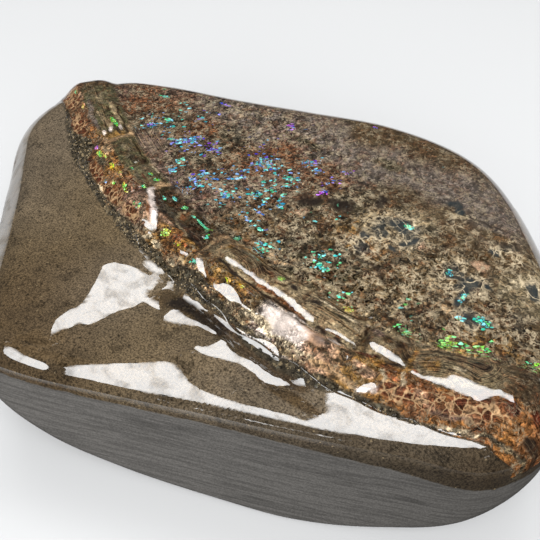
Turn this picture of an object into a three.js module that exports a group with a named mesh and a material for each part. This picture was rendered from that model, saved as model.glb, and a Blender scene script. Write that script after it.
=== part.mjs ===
// Ammolite specimen: a freeform piece of grey siltstone, ground flat underneath and rounded over on top,
// with part of a fossil ammonite lying in its upper side. The shell's keel crosses the stone from end to end
// as a low ridge of chambers, with the flank of the shell behind it and bare rock in front of it.
// Two solids: the rock (matrix) and the fossil shell that is bedded in it (ammonite_shell).
// Millimetres, +Z up, +X along the keel, +Y from the rock towards the shell's flank, flat underside at Z = 0.

import * as THREE from "three";
import { mergeVertices } from "three/addons/utils/BufferGeometryUtils.js";

// Girth of the stone, anticlockwise: plan x, plan y, rim height, width of the rounded rim, height of the wall's foot
const GIRTH = [
  [-8.5, -74, 36.5, 9, 28],
  [5.5, -69, 36, 9, 16],
  [23.5, -58.5, 36, 8, 7.5],
  [44, -46.5, 37, 8, 3.6],
  [62.5, -35.5, 37.5, 9, 2.4],
  [80.5, -23.5, 36.5, 11, 8],
  [95, -12.5, 34.5, 12, 17.5],
  [100.5, 4.5, 34, 12, 25],
  [95, 23.5, 33, 13, 26],
  [80, 44, 33, 14, 25],
  [57, 63.5, 35, 14, 24],
  [34.5, 73.3, 36, 14, 24],
  [6.5, 70.5, 37, 14, 24],
  [-21, 58, 38, 14, 23],
  [-47, 45.5, 38, 14, 23],
  [-73, 34, 38, 14, 23],
  [-91, 21, 37, 13, 23],
  [-100.5, 4, 30, 16, 21],
  [-94, -15, 27, 17, 18],
  [-73, -32.5, 25, 17, 17],
  [-45, -52.5, 27, 16, 18],
  [-22, -67.5, 32, 13, 23],
];
const GIRTH_STEPS = 24; // samples between two girth points
const CENTRE = [6, 2.5]; // plan point that sees the whole girth

// Plan line of the keel, drawn on past both ends of the stone
const KEEL = [
  [-108, 21], [-75, 6], [-52, -3.5], [-32.5, -9.5], [-8.5, -14.5], [15, -15.5],
  [31.5, -15.5], [47, -14.5], [59.5, -12.5], [77.5, -6.5], [89.5, -0.5], [119, 13],
];
const KEEL_STEPS = 40; // samples between two keel points

// Chambers of the shell: distances along the keel of the two walls (septa), height of the crown between them
const CHAMBERS = [
  { from: 8, to: 60.5, crown: 1.3 },
  { from: 60.5, to: 78.5, crown: 1.1 },
  { from: 78.5, to: 91, crown: 1.2 },
  { from: 91, to: 122, crown: 1.2 },
  { from: 122, to: 153, crown: 2.1 },
  { from: 153, to: 172.5, crown: 1.6 },
  { from: 172.5, to: 185, crown: 1.3 },
  { from: 185, to: 232, crown: 1.5 },
];
const SEPTUM_HALF = 2; // half the width of the dip at a septum
const CHAMBER_STEP = 5.2; // longest step along a chamber
const END_STEPS = [0, 1, 3.5, 7.5, 12.5]; // steps over the rounded rim at both ends of the keel
const END_REACH = 25; // stretch at each end over which the steps are fitted to the girth

// Across the band, minus towards the rock and plus towards the flank
const FOOT = -9.4; // where the band meets the rock
const FOOT_SWING = 0.8; // how far that line wanders
const FOOT_WAVES = [31, 12.5]; // lengths of its two waves
const FOOT_SHORT_SHARE = 0.6; // strength of the short wave beside the long one
const BAND = [0.3, 0.52, 0.7, 0.86, 1]; // rows from the foot to the keel line, as shares
const BEHIND = [2.6, 4.8, 7.2, 10.5]; // rows behind the keel line
const FLANK = [0.2, 0.4, 0.58, 0.73, 0.85, 0.93, 0.975, 1]; // rows from the band to the back rim, as shares
const ROCK = [0.08, 0.2, 0.42, 0.64, 0.8, 0.91, 0.97, 1]; // rows from the band to the front rim, as shares

// Heights of the top
const TOP = 40.3; // height of the bare rock over the origin
const TOP_SLOPE = [-0.019, 0.024]; // rise per millimetre along x and y
const KEEL_RISE = 4; // rise from the rock to the keel
const KEEL_FLANK = [-13, -1.5]; // stretch across the band in which it rises
const BACK_RISE = 3.4; // further rise of the flank towards the back
const BACK_STRETCH = [12, 70];
const DIP = { depth: 1, at: 10, half: 5 }; // trough between the keel and the flank
const VALLEY = { x: 24, y: 43.5, long: 45, wide: 11, turn: 0.25, depth: 2 }; // shallow sag in the flank
const CROWN_ACROSS = [-9, -2, 6, 11]; // crowns start, reach full height, leave it and end
const HOLLOW = { from: 93, to: 119, at: 5, half: 3.6, depth: 2.6 }; // open chamber
const GROOVE = { from: 126, to: 178, at: 0.4, half: 1.6, depth: 1.5 }; // slit along the keel
const LEDGE = { from: 62, to: 90, at: 7.6, half: 1.6, depth: 0.9 }; // step behind the small chambers
const TONGUE = { from: 118, to: 170, at: -12.4, half: 2.2, depth: 1.4 }; // trough in the rock below the band
const TROUGHS = [HOLLOW, GROOVE, LEDGE, TONGUE];
const TROUGH_END = 4; // length over which a trough runs out

// The rounded rim is the last part of a quarter ellipse, and stops short of its upright end
const RIM_SHARE = 0.93;

// Bed of the shell in the rock
const SHELL_THICK = 7.5; // under the flank and the keel
const SHELL_THICK_RIM = 4.2; // on the outer wall
const SHELL_WAVE = { depth: 0.8, length: 46 };
const BED_SLANT = 1.5; // how far the bed's front wall leans in
const GAP = 0.3; // clearance between the two solids

// Underside
const WALL_SPLIT = 0.5; // one ring between the rim and the foot of the wall
const UNDER_RINGS = 4; // rings from the wall's foot to the flat
const UNDER_SHARE = 0.42; // share of the radius that turns under at a high foot
const UNDER_FULL = 16; // foot height at which that share is reached
const UNDER_LEAST = 0.25;

const mix = (a, b, share) => a + (b - a) * share;
const clamp = THREE.MathUtils.clamp;
const smooth = (low, high, value) => THREE.MathUtils.smoothstep(value, low, high);

// A plan curve as evenly numbered samples, with any further columns of the table carried along
function sampleCurve(table, closed, steps) {
  const spans = closed ? table.length : table.length - 1;
  const columns = table[0].length;
  const curves = [];
  for (let column = 0; column < columns; column += 1) {
    const points = table.map((row) => new THREE.Vector3(row[column], 0, 0));
    curves.push(new THREE.CatmullRomCurve3(points, closed, "catmullrom", 0.5));
  }
  const samples = [];
  const last = closed ? spans * steps - 1 : spans * steps;
  for (let i = 0; i <= last; i += 1) {
    samples.push(curves.map((curve) => curve.getPoint(i / (spans * steps)).x));
  }
  return samples;
}

// The girth by angle around the centre
const girth = sampleCurve(GIRTH, true, GIRTH_STEPS).map(([x, y, rim, roll, foot]) => ({
  angle: Math.atan2(y - CENTRE[1], x - CENTRE[0]),
  radius: Math.hypot(x - CENTRE[0], y - CENTRE[1]),
  rim,
  roll,
  foot,
}));
girth.sort((a, b) => a.angle - b.angle);

function girthAt(angle) {
  const turn = 2 * Math.PI;
  const wrapped = angle - turn * Math.floor((angle + Math.PI) / turn);
  let after = girth.findIndex((sample) => sample.angle > wrapped);
  if (after < 0) {
    after = 0;
  }
  const before = (after + girth.length - 1) % girth.length;
  const low = girth[before];
  const high = girth[after];
  const span = (high.angle - low.angle + turn) % turn;
  const share = ((wrapped - low.angle + turn) % turn) / span;
  return {
    radius: mix(low.radius, high.radius, share),
    rim: mix(low.rim, high.rim, share),
    roll: mix(low.roll, high.roll, share),
    foot: mix(low.foot, high.foot, share),
  };
}

// Where a plan point lies: its angle, its share of the way out to the girth, and the girth there
function locate(x, y) {
  const angle = Math.atan2(y - CENTRE[1], x - CENTRE[0]);
  const around = girthAt(angle);
  const share = Math.hypot(x - CENTRE[0], y - CENTRE[1]) / around.radius;
  return { angle, share, around };
}

// The keel by distance along it
const keel = sampleCurve(KEEL, false, KEEL_STEPS).map(([x, y]) => ({ x, y, along: 0 }));
for (let i = 1; i < keel.length; i += 1) {
  keel[i].along = keel[i - 1].along + Math.hypot(keel[i].x - keel[i - 1].x, keel[i].y - keel[i - 1].y);
}
const KEEL_LENGTH = keel[keel.length - 1].along;

// The plan point at a distance along the keel and a distance across it, plus towards the flank
function bandPoint(along, across) {
  let i = keel.findIndex((sample) => sample.along > along);
  if (i < 1) {
    i = along > 0 ? keel.length - 1 : 1;
  }
  const low = keel[i - 1];
  const high = keel[i];
  const length = high.along - low.along;
  const share = (along - low.along) / length;
  const dx = (high.x - low.x) / length;
  const dy = (high.y - low.y) / length;
  return [mix(low.x, high.x, share) - dy * across, mix(low.y, high.y, share) + dx * across];
}

// The reverse: distances along and across the keel of a plan point
function bandPlace(x, y) {
  let best = { gap: Infinity, along: 0, across: 0 };
  for (let i = 1; i < keel.length; i += 1) {
    const low = keel[i - 1];
    const high = keel[i];
    const dx = high.x - low.x;
    const dy = high.y - low.y;
    const length = high.along - low.along;
    const share = clamp(((x - low.x) * dx + (y - low.y) * dy) / (length * length), 0, 1);
    const offX = x - low.x - share * dx;
    const offY = y - low.y - share * dy;
    const gap = Math.hypot(offX, offY);
    if (gap < best.gap) {
      const side = Math.sign(dx * offY - dy * offX);
      best = { gap, along: low.along + share * length, across: side * gap };
    }
  }
  return best;
}

// Chamber crowns: each is a low cushion that sinks to the septum at both ends
function crown(along, across) {
  const chamber = CHAMBERS.find((item) => along >= item.from && along <= item.to);
  if (!chamber) {
    return 0;
  }
  const place = (2 * (along - chamber.from)) / (chamber.to - chamber.from) - 1;
  const [start, full, leave, end] = CROWN_ACROSS;
  const width = smooth(start, full, across) * (1 - smooth(leave, end, across));
  return chamber.crown * (1 - place ** 4) * width;
}

function trough(shape, along, across) {
  const ends = smooth(shape.from, shape.from + TROUGH_END, along)
    * (1 - smooth(shape.to - TROUGH_END, shape.to, along));
  const offset = (across - shape.at) / shape.half;
  return shape.depth * ends * Math.exp(-offset * offset);
}

// Height of the top before its rim is rounded over
function openTop(x, y) {
  const { along, across } = bandPlace(x, y);
  let height = TOP + TOP_SLOPE[0] * x + TOP_SLOPE[1] * y;
  height += KEEL_RISE * smooth(KEEL_FLANK[0], KEEL_FLANK[1], across);
  height += BACK_RISE * smooth(BACK_STRETCH[0], BACK_STRETCH[1], across);
  height -= DIP.depth * Math.exp(-(((across - DIP.at) / DIP.half) ** 2));
  const cos = Math.cos(VALLEY.turn);
  const sin = Math.sin(VALLEY.turn);
  const lengthwise = ((x - VALLEY.x) * cos + (y - VALLEY.y) * sin) / VALLEY.long;
  const crosswise = ((y - VALLEY.y) * cos - (x - VALLEY.x) * sin) / VALLEY.wide;
  height -= VALLEY.depth * Math.exp(-(lengthwise ** 2) - crosswise ** 2);
  height += crown(along, across);
  for (const shape of TROUGHS) {
    height -= trough(shape, along, across);
  }
  return height;
}

// How far the rim has rounded over at a plan point, from 0 inside to 1 at the girth
function rounding(place) {
  const inward = (1 - place.share) * place.around.radius;
  const share = RIM_SHARE * clamp(1 - inward / place.around.roll, 0, 1);
  return (1 - Math.sqrt(1 - share * share)) / (1 - Math.sqrt(1 - RIM_SHARE * RIM_SHARE));
}

function topHeight(x, y) {
  const place = locate(x, y);
  const radius = place.around.radius;
  const rimX = CENTRE[0] + radius * Math.cos(place.angle);
  const rimY = CENTRE[1] + radius * Math.sin(place.angle);
  return openTop(x, y) - (openTop(rimX, rimY) - place.around.rim) * rounding(place);
}

function shellThickness(x, y) {
  const wave = SHELL_WAVE.depth * Math.sin((2 * Math.PI * (x + y)) / SHELL_WAVE.length);
  return mix(SHELL_THICK + wave, SHELL_THICK_RIM, rounding(locate(x, y)));
}

// A plan point as a place in a square whose sides are the four quarters of the girth, and back again
function toSquare([x, y]) {
  const { angle, share } = locate(x, y);
  const quarter = Math.PI / 4;
  const turned = angle < -quarter ? angle + 2 * Math.PI : angle;
  if (turned < quarter) {
    return [share, (share * turned) / quarter];
  }
  if (turned < 3 * quarter) {
    return [(share * (2 * quarter - turned)) / quarter, share];
  }
  if (turned < 5 * quarter) {
    return [-share, (share * (4 * quarter - turned)) / quarter];
  }
  return [(share * (turned - 6 * quarter)) / quarter, -share];
}

function fromSquare(a, b) {
  const quarter = Math.PI / 4;
  let share = a;
  let angle = (quarter * b) / (a || 1);
  if (Math.abs(a) <= Math.abs(b)) {
    share = b;
    angle = 2 * quarter - (quarter * a) / (b || 1);
  }
  const around = girthAt(share < 0 ? angle + Math.PI : angle);
  return [
    CENTRE[0] + share * around.radius * Math.cos(angle),
    CENTRE[1] + share * around.radius * Math.sin(angle),
  ];
}

// The line where the band meets the rock wanders a little
function footLine(along) {
  const [long, short] = FOOT_WAVES;
  const longWave = Math.sin((2 * Math.PI * along) / long);
  const shortWave = FOOT_SHORT_SHARE * Math.sin((2 * Math.PI * along) / short);
  return FOOT + (FOOT_SWING * (longWave + shortWave)) / (1 + FOOT_SHORT_SHARE);
}

// Distance along the keel at which a line beside it leaves the stone, searched for between two distances
function leavesStone(lineAt, inside, outside) {
  let low = inside;
  let high = outside;
  for (let i = 0; i < 60; i += 1) {
    const middle = (low + high) / 2;
    const [x, y] = bandPoint(middle, lineAt(middle));
    if (locate(x, y).share < 1) {
      low = middle;
    } else {
      high = middle;
    }
  }
  return (low + high) / 2;
}

// Distances along the keel of the columns: over both rims, at every septum and evenly along each chamber
const MIDDLE = KEEL_LENGTH / 2;
const START = leavesStone(footLine, MIDDLE, 0);
const END = leavesStone(footLine, MIDDLE, KEEL_LENGTH);

function columnDistances() {
  const first = START + END_STEPS[END_STEPS.length - 1];
  const last = END - END_STEPS[END_STEPS.length - 1];
  const distances = END_STEPS.map((step) => START + step);
  for (const chamber of CHAMBERS) {
    const from = Math.max(chamber.from + SEPTUM_HALF, first);
    const to = Math.min(chamber.to - SEPTUM_HALF, last);
    const count = Math.ceil((to - from) / CHAMBER_STEP);
    for (let i = from > first ? 0 : 1; i <= count; i += 1) {
      distances.push(mix(from, to, i / count));
    }
    if (chamber.to < last) {
      distances.push(chamber.to);
    }
  }
  const tail = END_STEPS.slice(0, -1).map((step) => END - step);
  return distances.concat(tail.reverse());
}
const COLUMNS = columnDistances();

// One row of plan points beside the keel, from girth to girth
function bandRow(lineAt) {
  const start = leavesStone(lineAt, MIDDLE, 0);
  const end = leavesStone(lineAt, MIDDLE, KEEL_LENGTH);
  return COLUMNS.map((column) => {
    const nearStart = clamp(1 - (column - START) / END_REACH, 0, 1);
    const nearEnd = clamp(1 - (END - column) / END_REACH, 0, 1);
    const along = column + (start - START) * nearStart + (end - END) * nearEnd;
    return bandPoint(along, lineAt(along));
  });
}

// Rows of plan points from a row out to the front (-1) or back (1) rim
function outwardRows(row, side, shares) {
  const squares = row.map(toSquare);
  return shares.map((share) => squares.map(([a, b]) => fromSquare(a, mix(b, side, share))));
}

const shiftedFoot = (shift) => (along) => footLine(along) + shift;
const betweenRows = BAND.map((share) => bandRow((along) => mix(footLine(along), 0, share)));
const behindRows = BEHIND.map((across) => bandRow(() => across));
const innerRows = betweenRows.concat(behindRows);
const flankRows = outwardRows(innerRows[innerRows.length - 1], 1, FLANK);
const sharedRows = innerRows.concat(flankRows);
const shellFoot = bandRow(shiftedFoot(GAP / 2));
const shellBedFoot = bandRow(shiftedFoot(GAP / 2 + BED_SLANT));
const rockFoot = bandRow(shiftedFoot(-GAP / 2));
const rockBedFoot = bandRow(shiftedFoot(BED_SLANT - GAP / 2));
const frontRows = outwardRows(rockFoot, -1, ROCK).reverse();

function lift(rows, heightAt) {
  return rows.map((row) => row.map(([x, y]) => new THREE.Vector3(x, y, heightAt(x, y))));
}

// A triangle list that grows by strips between rows of equal length
class Skin {
  constructor() {
    this.positions = [];
  }

  triangle(a, b, c) {
    for (const corner of [a, b, c]) {
      this.positions.push(corner.x, corner.y, corner.z);
    }
  }

  // Faces that look up where each row runs along +X and the next lies towards +Y; flip turns them over
  strips(rows, flip) {
    for (let j = 1; j < rows.length; j += 1) {
      for (let i = 1; i < rows[j].length; i += 1) {
        const [a, b] = [rows[j - 1][i - 1], rows[j - 1][i]];
        const [d, c] = [rows[j][i - 1], rows[j][i]];
        if (flip) {
          this.triangle(a, c, b);
          this.triangle(a, d, c);
        } else {
          this.triangle(a, b, c);
          this.triangle(a, c, d);
        }
      }
    }
  }

  // A flat cap on a loop
  cap(loop, height) {
    const hub = new THREE.Vector3(CENTRE[0], CENTRE[1], height);
    for (let i = 1; i < loop.length; i += 1) {
      this.triangle(hub, loop[i], loop[i - 1]);
    }
  }

  mesh(name, material) {
    const geometry = new THREE.BufferGeometry();
    geometry.setAttribute("position", new THREE.Float32BufferAttribute(this.positions, 3));
    const merged = mergeVertices(geometry, 1e-3);
    merged.computeVertexNormals();
    const mesh = new THREE.Mesh(merged, material);
    mesh.name = name;
    return mesh;
  }
}

// The edge of a patch of rows as a loop: along the first row, up the far side, back and down the near side
function patchLoop(rows) {
  const last = rows.length - 1;
  const end = rows[0].length - 1;
  const far = rows.slice(1, last).map((row) => row[end]);
  const near = rows.slice(1, last).map((row) => row[0]).reverse();
  const loop = [...rows[0], ...far, ...[...rows[last]].reverse(), ...near];
  return loop.concat([loop[0]]);
}

function ammoniteShell() {
  const top = lift([shellFoot, ...sharedRows], topHeight);
  const under = lift([shellBedFoot, ...sharedRows], (x, y) => topHeight(x, y) - shellThickness(x, y));
  const skin = new Skin();
  skin.strips(top, false);
  skin.strips(under, true);
  skin.strips([patchLoop(under), patchLoop(top)], false);
  const shell = new THREE.MeshStandardMaterial({ color: 0x5f5138, roughness: 0.3, metalness: 0 });
  return skin.mesh("ammonite_shell", shell);
}

// Rings of the wall and the underside, below a loop that runs round the whole rim
function ringsBelow(rim) {
  const posts = rim.map((point) => ({ point, ...locate(point.x, point.y) }));
  const wall = posts.map(({ point, around }) => {
    return new THREE.Vector3(point.x, point.y, mix(point.z, around.foot, WALL_SPLIT));
  });
  const rings = [wall];
  for (let ring = 0; ring <= UNDER_RINGS; ring += 1) {
    const turn = (ring / UNDER_RINGS) * (Math.PI / 2);
    rings.push(posts.map(({ angle, around }) => {
      const share = UNDER_SHARE * clamp(around.foot / UNDER_FULL, UNDER_LEAST, 1);
      const radius = around.radius * (1 - share * (1 - Math.cos(turn)));
      const x = CENTRE[0] + radius * Math.cos(angle);
      const y = CENTRE[1] + radius * Math.sin(angle);
      return new THREE.Vector3(x, y, ring === UNDER_RINGS ? 0 : around.foot * (1 - Math.sin(turn)));
    }));
  }
  return rings;
}

function matrix() {
  const front = lift([...frontRows, rockFoot], topHeight);
  const bedHeight = (x, y) => topHeight(x, y) - shellThickness(x, y) - GAP;
  const bed = lift([rockBedFoot, ...sharedRows], bedHeight);
  const rows = [...front, ...bed];
  const skin = new Skin();
  skin.strips(rows, false);
  const rim = patchLoop(rows);
  const rings = ringsBelow(rim);
  skin.strips([...rings.reverse(), rim], false);
  skin.cap(rings[0], 0);
  const rock = new THREE.MeshStandardMaterial({ color: 0x5c5850, roughness: 0.45, metalness: 0 });
  return skin.mesh("matrix", rock);
}

const specimen = new THREE.Group();
specimen.add(matrix(), ammoniteShell());

export default specimen;
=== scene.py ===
import math

import bpy
import numpy as np
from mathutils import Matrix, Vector


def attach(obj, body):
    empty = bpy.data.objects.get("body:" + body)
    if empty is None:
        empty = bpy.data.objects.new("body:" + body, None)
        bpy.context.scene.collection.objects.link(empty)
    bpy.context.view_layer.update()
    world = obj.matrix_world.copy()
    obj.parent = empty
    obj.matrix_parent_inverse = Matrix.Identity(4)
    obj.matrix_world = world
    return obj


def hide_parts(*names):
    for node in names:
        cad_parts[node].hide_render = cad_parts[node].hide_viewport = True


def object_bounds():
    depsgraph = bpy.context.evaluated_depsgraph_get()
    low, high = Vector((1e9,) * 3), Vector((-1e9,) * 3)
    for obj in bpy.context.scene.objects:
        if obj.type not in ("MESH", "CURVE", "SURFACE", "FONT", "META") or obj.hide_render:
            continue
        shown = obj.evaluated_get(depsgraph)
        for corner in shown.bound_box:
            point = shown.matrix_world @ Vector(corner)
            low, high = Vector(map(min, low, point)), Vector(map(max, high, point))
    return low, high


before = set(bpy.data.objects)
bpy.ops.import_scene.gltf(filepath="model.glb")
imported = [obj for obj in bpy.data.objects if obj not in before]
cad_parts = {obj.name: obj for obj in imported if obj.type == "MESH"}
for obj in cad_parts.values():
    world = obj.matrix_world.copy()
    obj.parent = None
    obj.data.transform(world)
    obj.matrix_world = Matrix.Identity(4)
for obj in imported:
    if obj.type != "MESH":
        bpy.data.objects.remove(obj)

bl_info = {
    "name": "Ammolite specimen",
    "version": (1, 0, 0),
    "blender": (4, 5, 0),
    "location": "3D View > Sidebar > Specimen",
    "description": "A polished stone with part of an iridescent fossil ammonite in its top",
    "category": "Add Mesh",
}

# Everything is in metres, in the frame's own axes: +X along the keel of the shell, +Y from the bare rock over
# the keel to the flank, the flat underside at Z = 0.
CAD_LOW, CAD_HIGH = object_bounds()
MM = 0.001

# Girth of the stone, anticlockwise: plan x, plan y, rim height, width of the rounded rim, height of the foot
GIRTH = (
    (-0.0085, -0.074, 0.0365, 0.009, 0.028), (0.0055, -0.069, 0.036, 0.009, 0.016),
    (0.0235, -0.0585, 0.036, 0.008, 0.0075), (0.044, -0.0465, 0.037, 0.008, 0.0036),
    (0.0625, -0.0355, 0.0375, 0.009, 0.0024), (0.0805, -0.0235, 0.0365, 0.011, 0.008),
    (0.095, -0.0125, 0.0345, 0.012, 0.0175), (0.1005, 0.0045, 0.034, 0.012, 0.025),
    (0.095, 0.0235, 0.033, 0.013, 0.026), (0.08, 0.044, 0.033, 0.014, 0.025),
    (0.057, 0.0635, 0.035, 0.014, 0.024), (0.0345, 0.0733, 0.036, 0.014, 0.024),
    (0.0065, 0.0705, 0.037, 0.014, 0.024), (-0.021, 0.058, 0.038, 0.014, 0.023),
    (-0.047, 0.0455, 0.038, 0.014, 0.023), (-0.073, 0.034, 0.038, 0.014, 0.023),
    (-0.091, 0.021, 0.037, 0.013, 0.023), (-0.1005, 0.004, 0.03, 0.016, 0.021),
    (-0.094, -0.015, 0.027, 0.017, 0.018), (-0.073, -0.0325, 0.025, 0.017, 0.017),
    (-0.045, -0.0525, 0.027, 0.016, 0.018), (-0.022, -0.0675, 0.032, 0.013, 0.023),
)
CENTRE = np.array((0.006, 0.0025))

# Plan line of the keel, drawn on past both ends of the stone
KEEL = (
    (-0.108, 0.021), (-0.075, 0.006), (-0.052, -0.0035), (-0.0325, -0.0095), (-0.0085, -0.0145),
    (0.015, -0.0155), (0.0315, -0.0155), (0.047, -0.0145), (0.0595, -0.0125), (0.0775, -0.0065),
    (0.0895, -0.0005), (0.119, 0.013),
)


# ---------------- shape of the stone

def through(points, steps, closed):
    """A smooth line through given points, as evenly numbered samples."""
    given = np.array(points)
    if closed:
        ends = np.vstack([given[-1:], given, given[:2]])
    else:
        ends = np.vstack([2 * given[0] - given[1], given, 2 * given[-1] - given[-2]])
    share = np.linspace(0, 1, steps, endpoint=False)[:, None]
    pieces = []
    for a, b, c, d in zip(ends, ends[1:], ends[2:], ends[3:]):
        turn = 2 * a - 5 * b + 4 * c - d
        twist = 3 * b - a - 3 * c + d
        pieces.append((2 * b + (c - a) * share + turn * share**2 + twist * share**3) / 2)
    if not closed:
        pieces.append(given[-1:])
    return np.vstack(pieces)


def smooth(low, high, value):
    share = np.clip((value - low) / (high - low), 0, 1)
    return share * share * (3 - 2 * share)


def between(low, high, soft, value):
    """1 from low to high, and 0 outside, with soft ends."""
    return smooth(low - soft, low + soft, value) * (1 - smooth(high - soft, high + soft, value))


def bell(value, middle, half):
    return np.exp(-(((value - middle) / half) ** 2))


def mix(a, b, share):
    return a + (b - a) * share


WANDER_SIDE, WANDER_FROM = 64, (17.3, 31.7)  # side of the random table, and the place in it of the middle


def wander(x, y, size, seed):
    """Smooth random field between -1 and 1, with lumps of about the given size."""
    side = WANDER_SIDE
    table = np.random.default_rng(seed).uniform(-1, 1, (side, side))
    column, row = x / size + WANDER_FROM[0], y / size + WANDER_FROM[1]
    i, j = np.floor(column).astype(int), np.floor(row).astype(int)
    u, v = column - i, row - j
    u, v = u * u * (3 - 2 * u), v * v * (3 - 2 * v)
    near = mix(table[j % side, i % side], table[j % side, (i + 1) % side], u)
    far = mix(table[(j + 1) % side, i % side], table[(j + 1) % side, (i + 1) % side], u)
    return mix(near, far, v)


girth_line = through(GIRTH, 24, True)
girth_angle = np.arctan2(girth_line[:, 1] - CENTRE[1], girth_line[:, 0] - CENTRE[0])
girth_order = np.argsort(girth_angle)
girth_angle = girth_angle[girth_order]
girth_radius = np.hypot(*(girth_line[girth_order, :2] - CENTRE).T)
girth_rim, girth_roll, girth_foot = girth_line[girth_order, 2:].T

keel_line = through(KEEL, 40, False)
keel_step = np.diff(keel_line, axis=0)
keel_length = np.hypot(*keel_step.T)
keel_along = np.concatenate([[0], np.cumsum(keel_length)])


def girth_at(angle, table):
    return np.interp(angle, girth_angle, table, period=2 * np.pi)


def locate(x, y):
    """The angle of plan points around the centre, and their share of the way out to the girth."""
    angle = np.arctan2(y - CENTRE[1], x - CENTRE[0])
    share = np.hypot(x - CENTRE[0], y - CENTRE[1]) / girth_at(angle, girth_radius)
    return angle, share


def beside_keel(along, across):
    """Plan points at distances along and across the keel, plus towards the flank."""
    i = np.clip(np.searchsorted(keel_along, along) - 1, 0, len(keel_step) - 1)
    heading = keel_step[i] / keel_length[i][..., None]
    point = keel_line[i] + heading * (along - keel_along[i])[..., None]
    return point[..., 0] - heading[..., 1] * across, point[..., 1] + heading[..., 0] * across


AT_ONCE = 8192  # points worked out in one go, to save memory


def keel_place(x, y):
    """Distances along and across the keel of plan points."""
    flat = np.stack([np.ravel(x), np.ravel(y)], -1)
    along, across = np.empty(len(flat)), np.empty(len(flat))
    for start in range(0, len(flat), AT_ONCE):
        part = slice(start, start + AT_ONCE)
        off = flat[part, None] - keel_line[None, :-1]
        share = np.clip((off * keel_step).sum(-1) / keel_length**2, 0, 1)
        off = off - share[..., None] * keel_step
        gap = (off**2).sum(-1)
        k = gap.argmin(1)
        rows = np.arange(len(k))
        side = keel_step[k, 0] * off[rows, k, 1] - keel_step[k, 1] * off[rows, k, 0]
        along[part] = keel_along[k] + share[rows, k] * keel_length[k]
        across[part] = np.sign(side) * np.sqrt(gap[rows, k])
    return along.reshape(np.shape(x)), across.reshape(np.shape(x))


# ---------------- what the solids already have of the shell

# Distances along and across the keel. The crowns and troughs are the ones of the solids.
CHAMBERS = (  # from, to, height of the crown
    (0.008, 0.0605, 0.0013), (0.0605, 0.0785, 0.0011), (0.0785, 0.091, 0.0012), (0.091, 0.122, 0.0012),
    (0.122, 0.153, 0.0021), (0.153, 0.1725, 0.0016), (0.1725, 0.185, 0.0013), (0.185, 0.232, 0.0015),
)
TROUGHS = (  # from, to, across, half width, depth
    (0.093, 0.119, 0.005, 0.0036, 0.0026),
    (0.126, 0.178, 0.0004, 0.0016, 0.0015),
    (0.062, 0.09, 0.0076, 0.0016, 0.0009),
    (0.118, 0.17, -0.0124, 0.0022, 0.0014),
)
TROUGH_END = 0.004  # over which a trough begins and ends


def crowns_and_troughs(along, across):
    """What the chambers and the troughs beside them add to the top."""
    height = np.zeros_like(along)
    for start, end, crown in CHAMBERS:
        place = np.clip((2 * along - start - end) / (end - start), -1, 1)
        height += crown * (1 - place**4)
    height = height * smooth(-0.009, -0.002, across) * (1 - smooth(0.006, 0.011, across))
    for start, end, middle, half, depth in TROUGHS:
        ends = smooth(start, start + TROUGH_END, along) * (1 - smooth(end - TROUGH_END, end, along))
        height = height - depth * ends * bell(across, middle, half)
    return height


# The open top: height and slopes of its plane, the rises and the groove along the keel, and a hollow
PLANE = (0.0403, -0.019, 0.024)
NACRE_RISE = (0.004, -0.013, -0.0015)  # rise, from, to, across the keel
FLANK_RISE = (0.0034, 0.012, 0.070)
GROOVE = (0.001, 0.010, 0.005)  # depth, across the keel, half width
HOLLOW_DEPTH, HOLLOW_TURN = 0.002, 0.25
HOLLOW_AT, HOLLOW_HALF = (0.024, 0.0435), (0.045, 0.011)


def open_top(x, y, along, across):
    """Height of the top before its rim is rounded over."""
    height = PLANE[0] + PLANE[1] * x + PLANE[2] * y
    for rise, start, end in (NACRE_RISE, FLANK_RISE):
        height = height + rise * smooth(start, end, across)
    height = height - GROOVE[0] * bell(across, *GROOVE[1:])
    cos, sin = math.cos(HOLLOW_TURN), math.sin(HOLLOW_TURN)
    off_x, off_y = x - HOLLOW_AT[0], y - HOLLOW_AT[1]
    lengthwise = (off_x * cos + off_y * sin) / HOLLOW_HALF[0]
    crosswise = (off_y * cos - off_x * sin) / HOLLOW_HALF[1]
    height = height - HOLLOW_DEPTH * np.exp(-(lengthwise**2) - crosswise**2)
    return height + crowns_and_troughs(along, across)


RIM_SHARE = 0.93


def rounding(angle, share):
    """How far the rim has rounded over, from 0 inside to 1 at the girth."""
    inward = (1 - share) * girth_at(angle, girth_radius) / girth_at(angle, girth_roll)
    part = RIM_SHARE * np.clip(1 - inward, 0, 1)
    return (1 - np.sqrt(1 - part**2)) / (1 - math.sqrt(1 - RIM_SHARE**2))


def girth_drop():
    """How far the rim lies below the open top: angles round the girth, and the drop at each."""
    angle = np.linspace(-np.pi, np.pi, 1440, endpoint=False)
    radius = girth_at(angle, girth_radius)
    x, y = CENTRE[0] + radius * np.cos(angle), CENTRE[1] + radius * np.sin(angle)
    return angle, open_top(x, y, *keel_place(x, y)) - girth_at(angle, girth_rim)


DROP = girth_drop()


def top_height(x, y, along, across):
    angle, share = locate(x, y)
    drop = np.interp(angle, *DROP, period=2 * np.pi)
    return open_top(x, y, along, across) - drop * rounding(angle, share)


SHELL_DEEP, SHELL_THIN = 0.0075, 0.0042  # thickness inside, and under the rim
WAVE = 0.0008  # height of the waves of the hidden face, and of those of the foot
FOOT = -0.0094  # where the band meets the rock, across the keel


def shell_thickness(x, y):
    wave = WAVE * np.sin(2 * np.pi * (x + y) / 0.046)
    return mix(SHELL_DEEP + wave, SHELL_THIN, rounding(*locate(x, y)))


def foot_line(along):
    """Where the band meets the rock, across the keel."""
    wave = np.sin(2 * np.pi * along / 0.031) + 0.6 * np.sin(2 * np.pi * along / 0.0125)
    return FOOT + WAVE * wave / 1.6


# ---------------- polished facets

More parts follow.
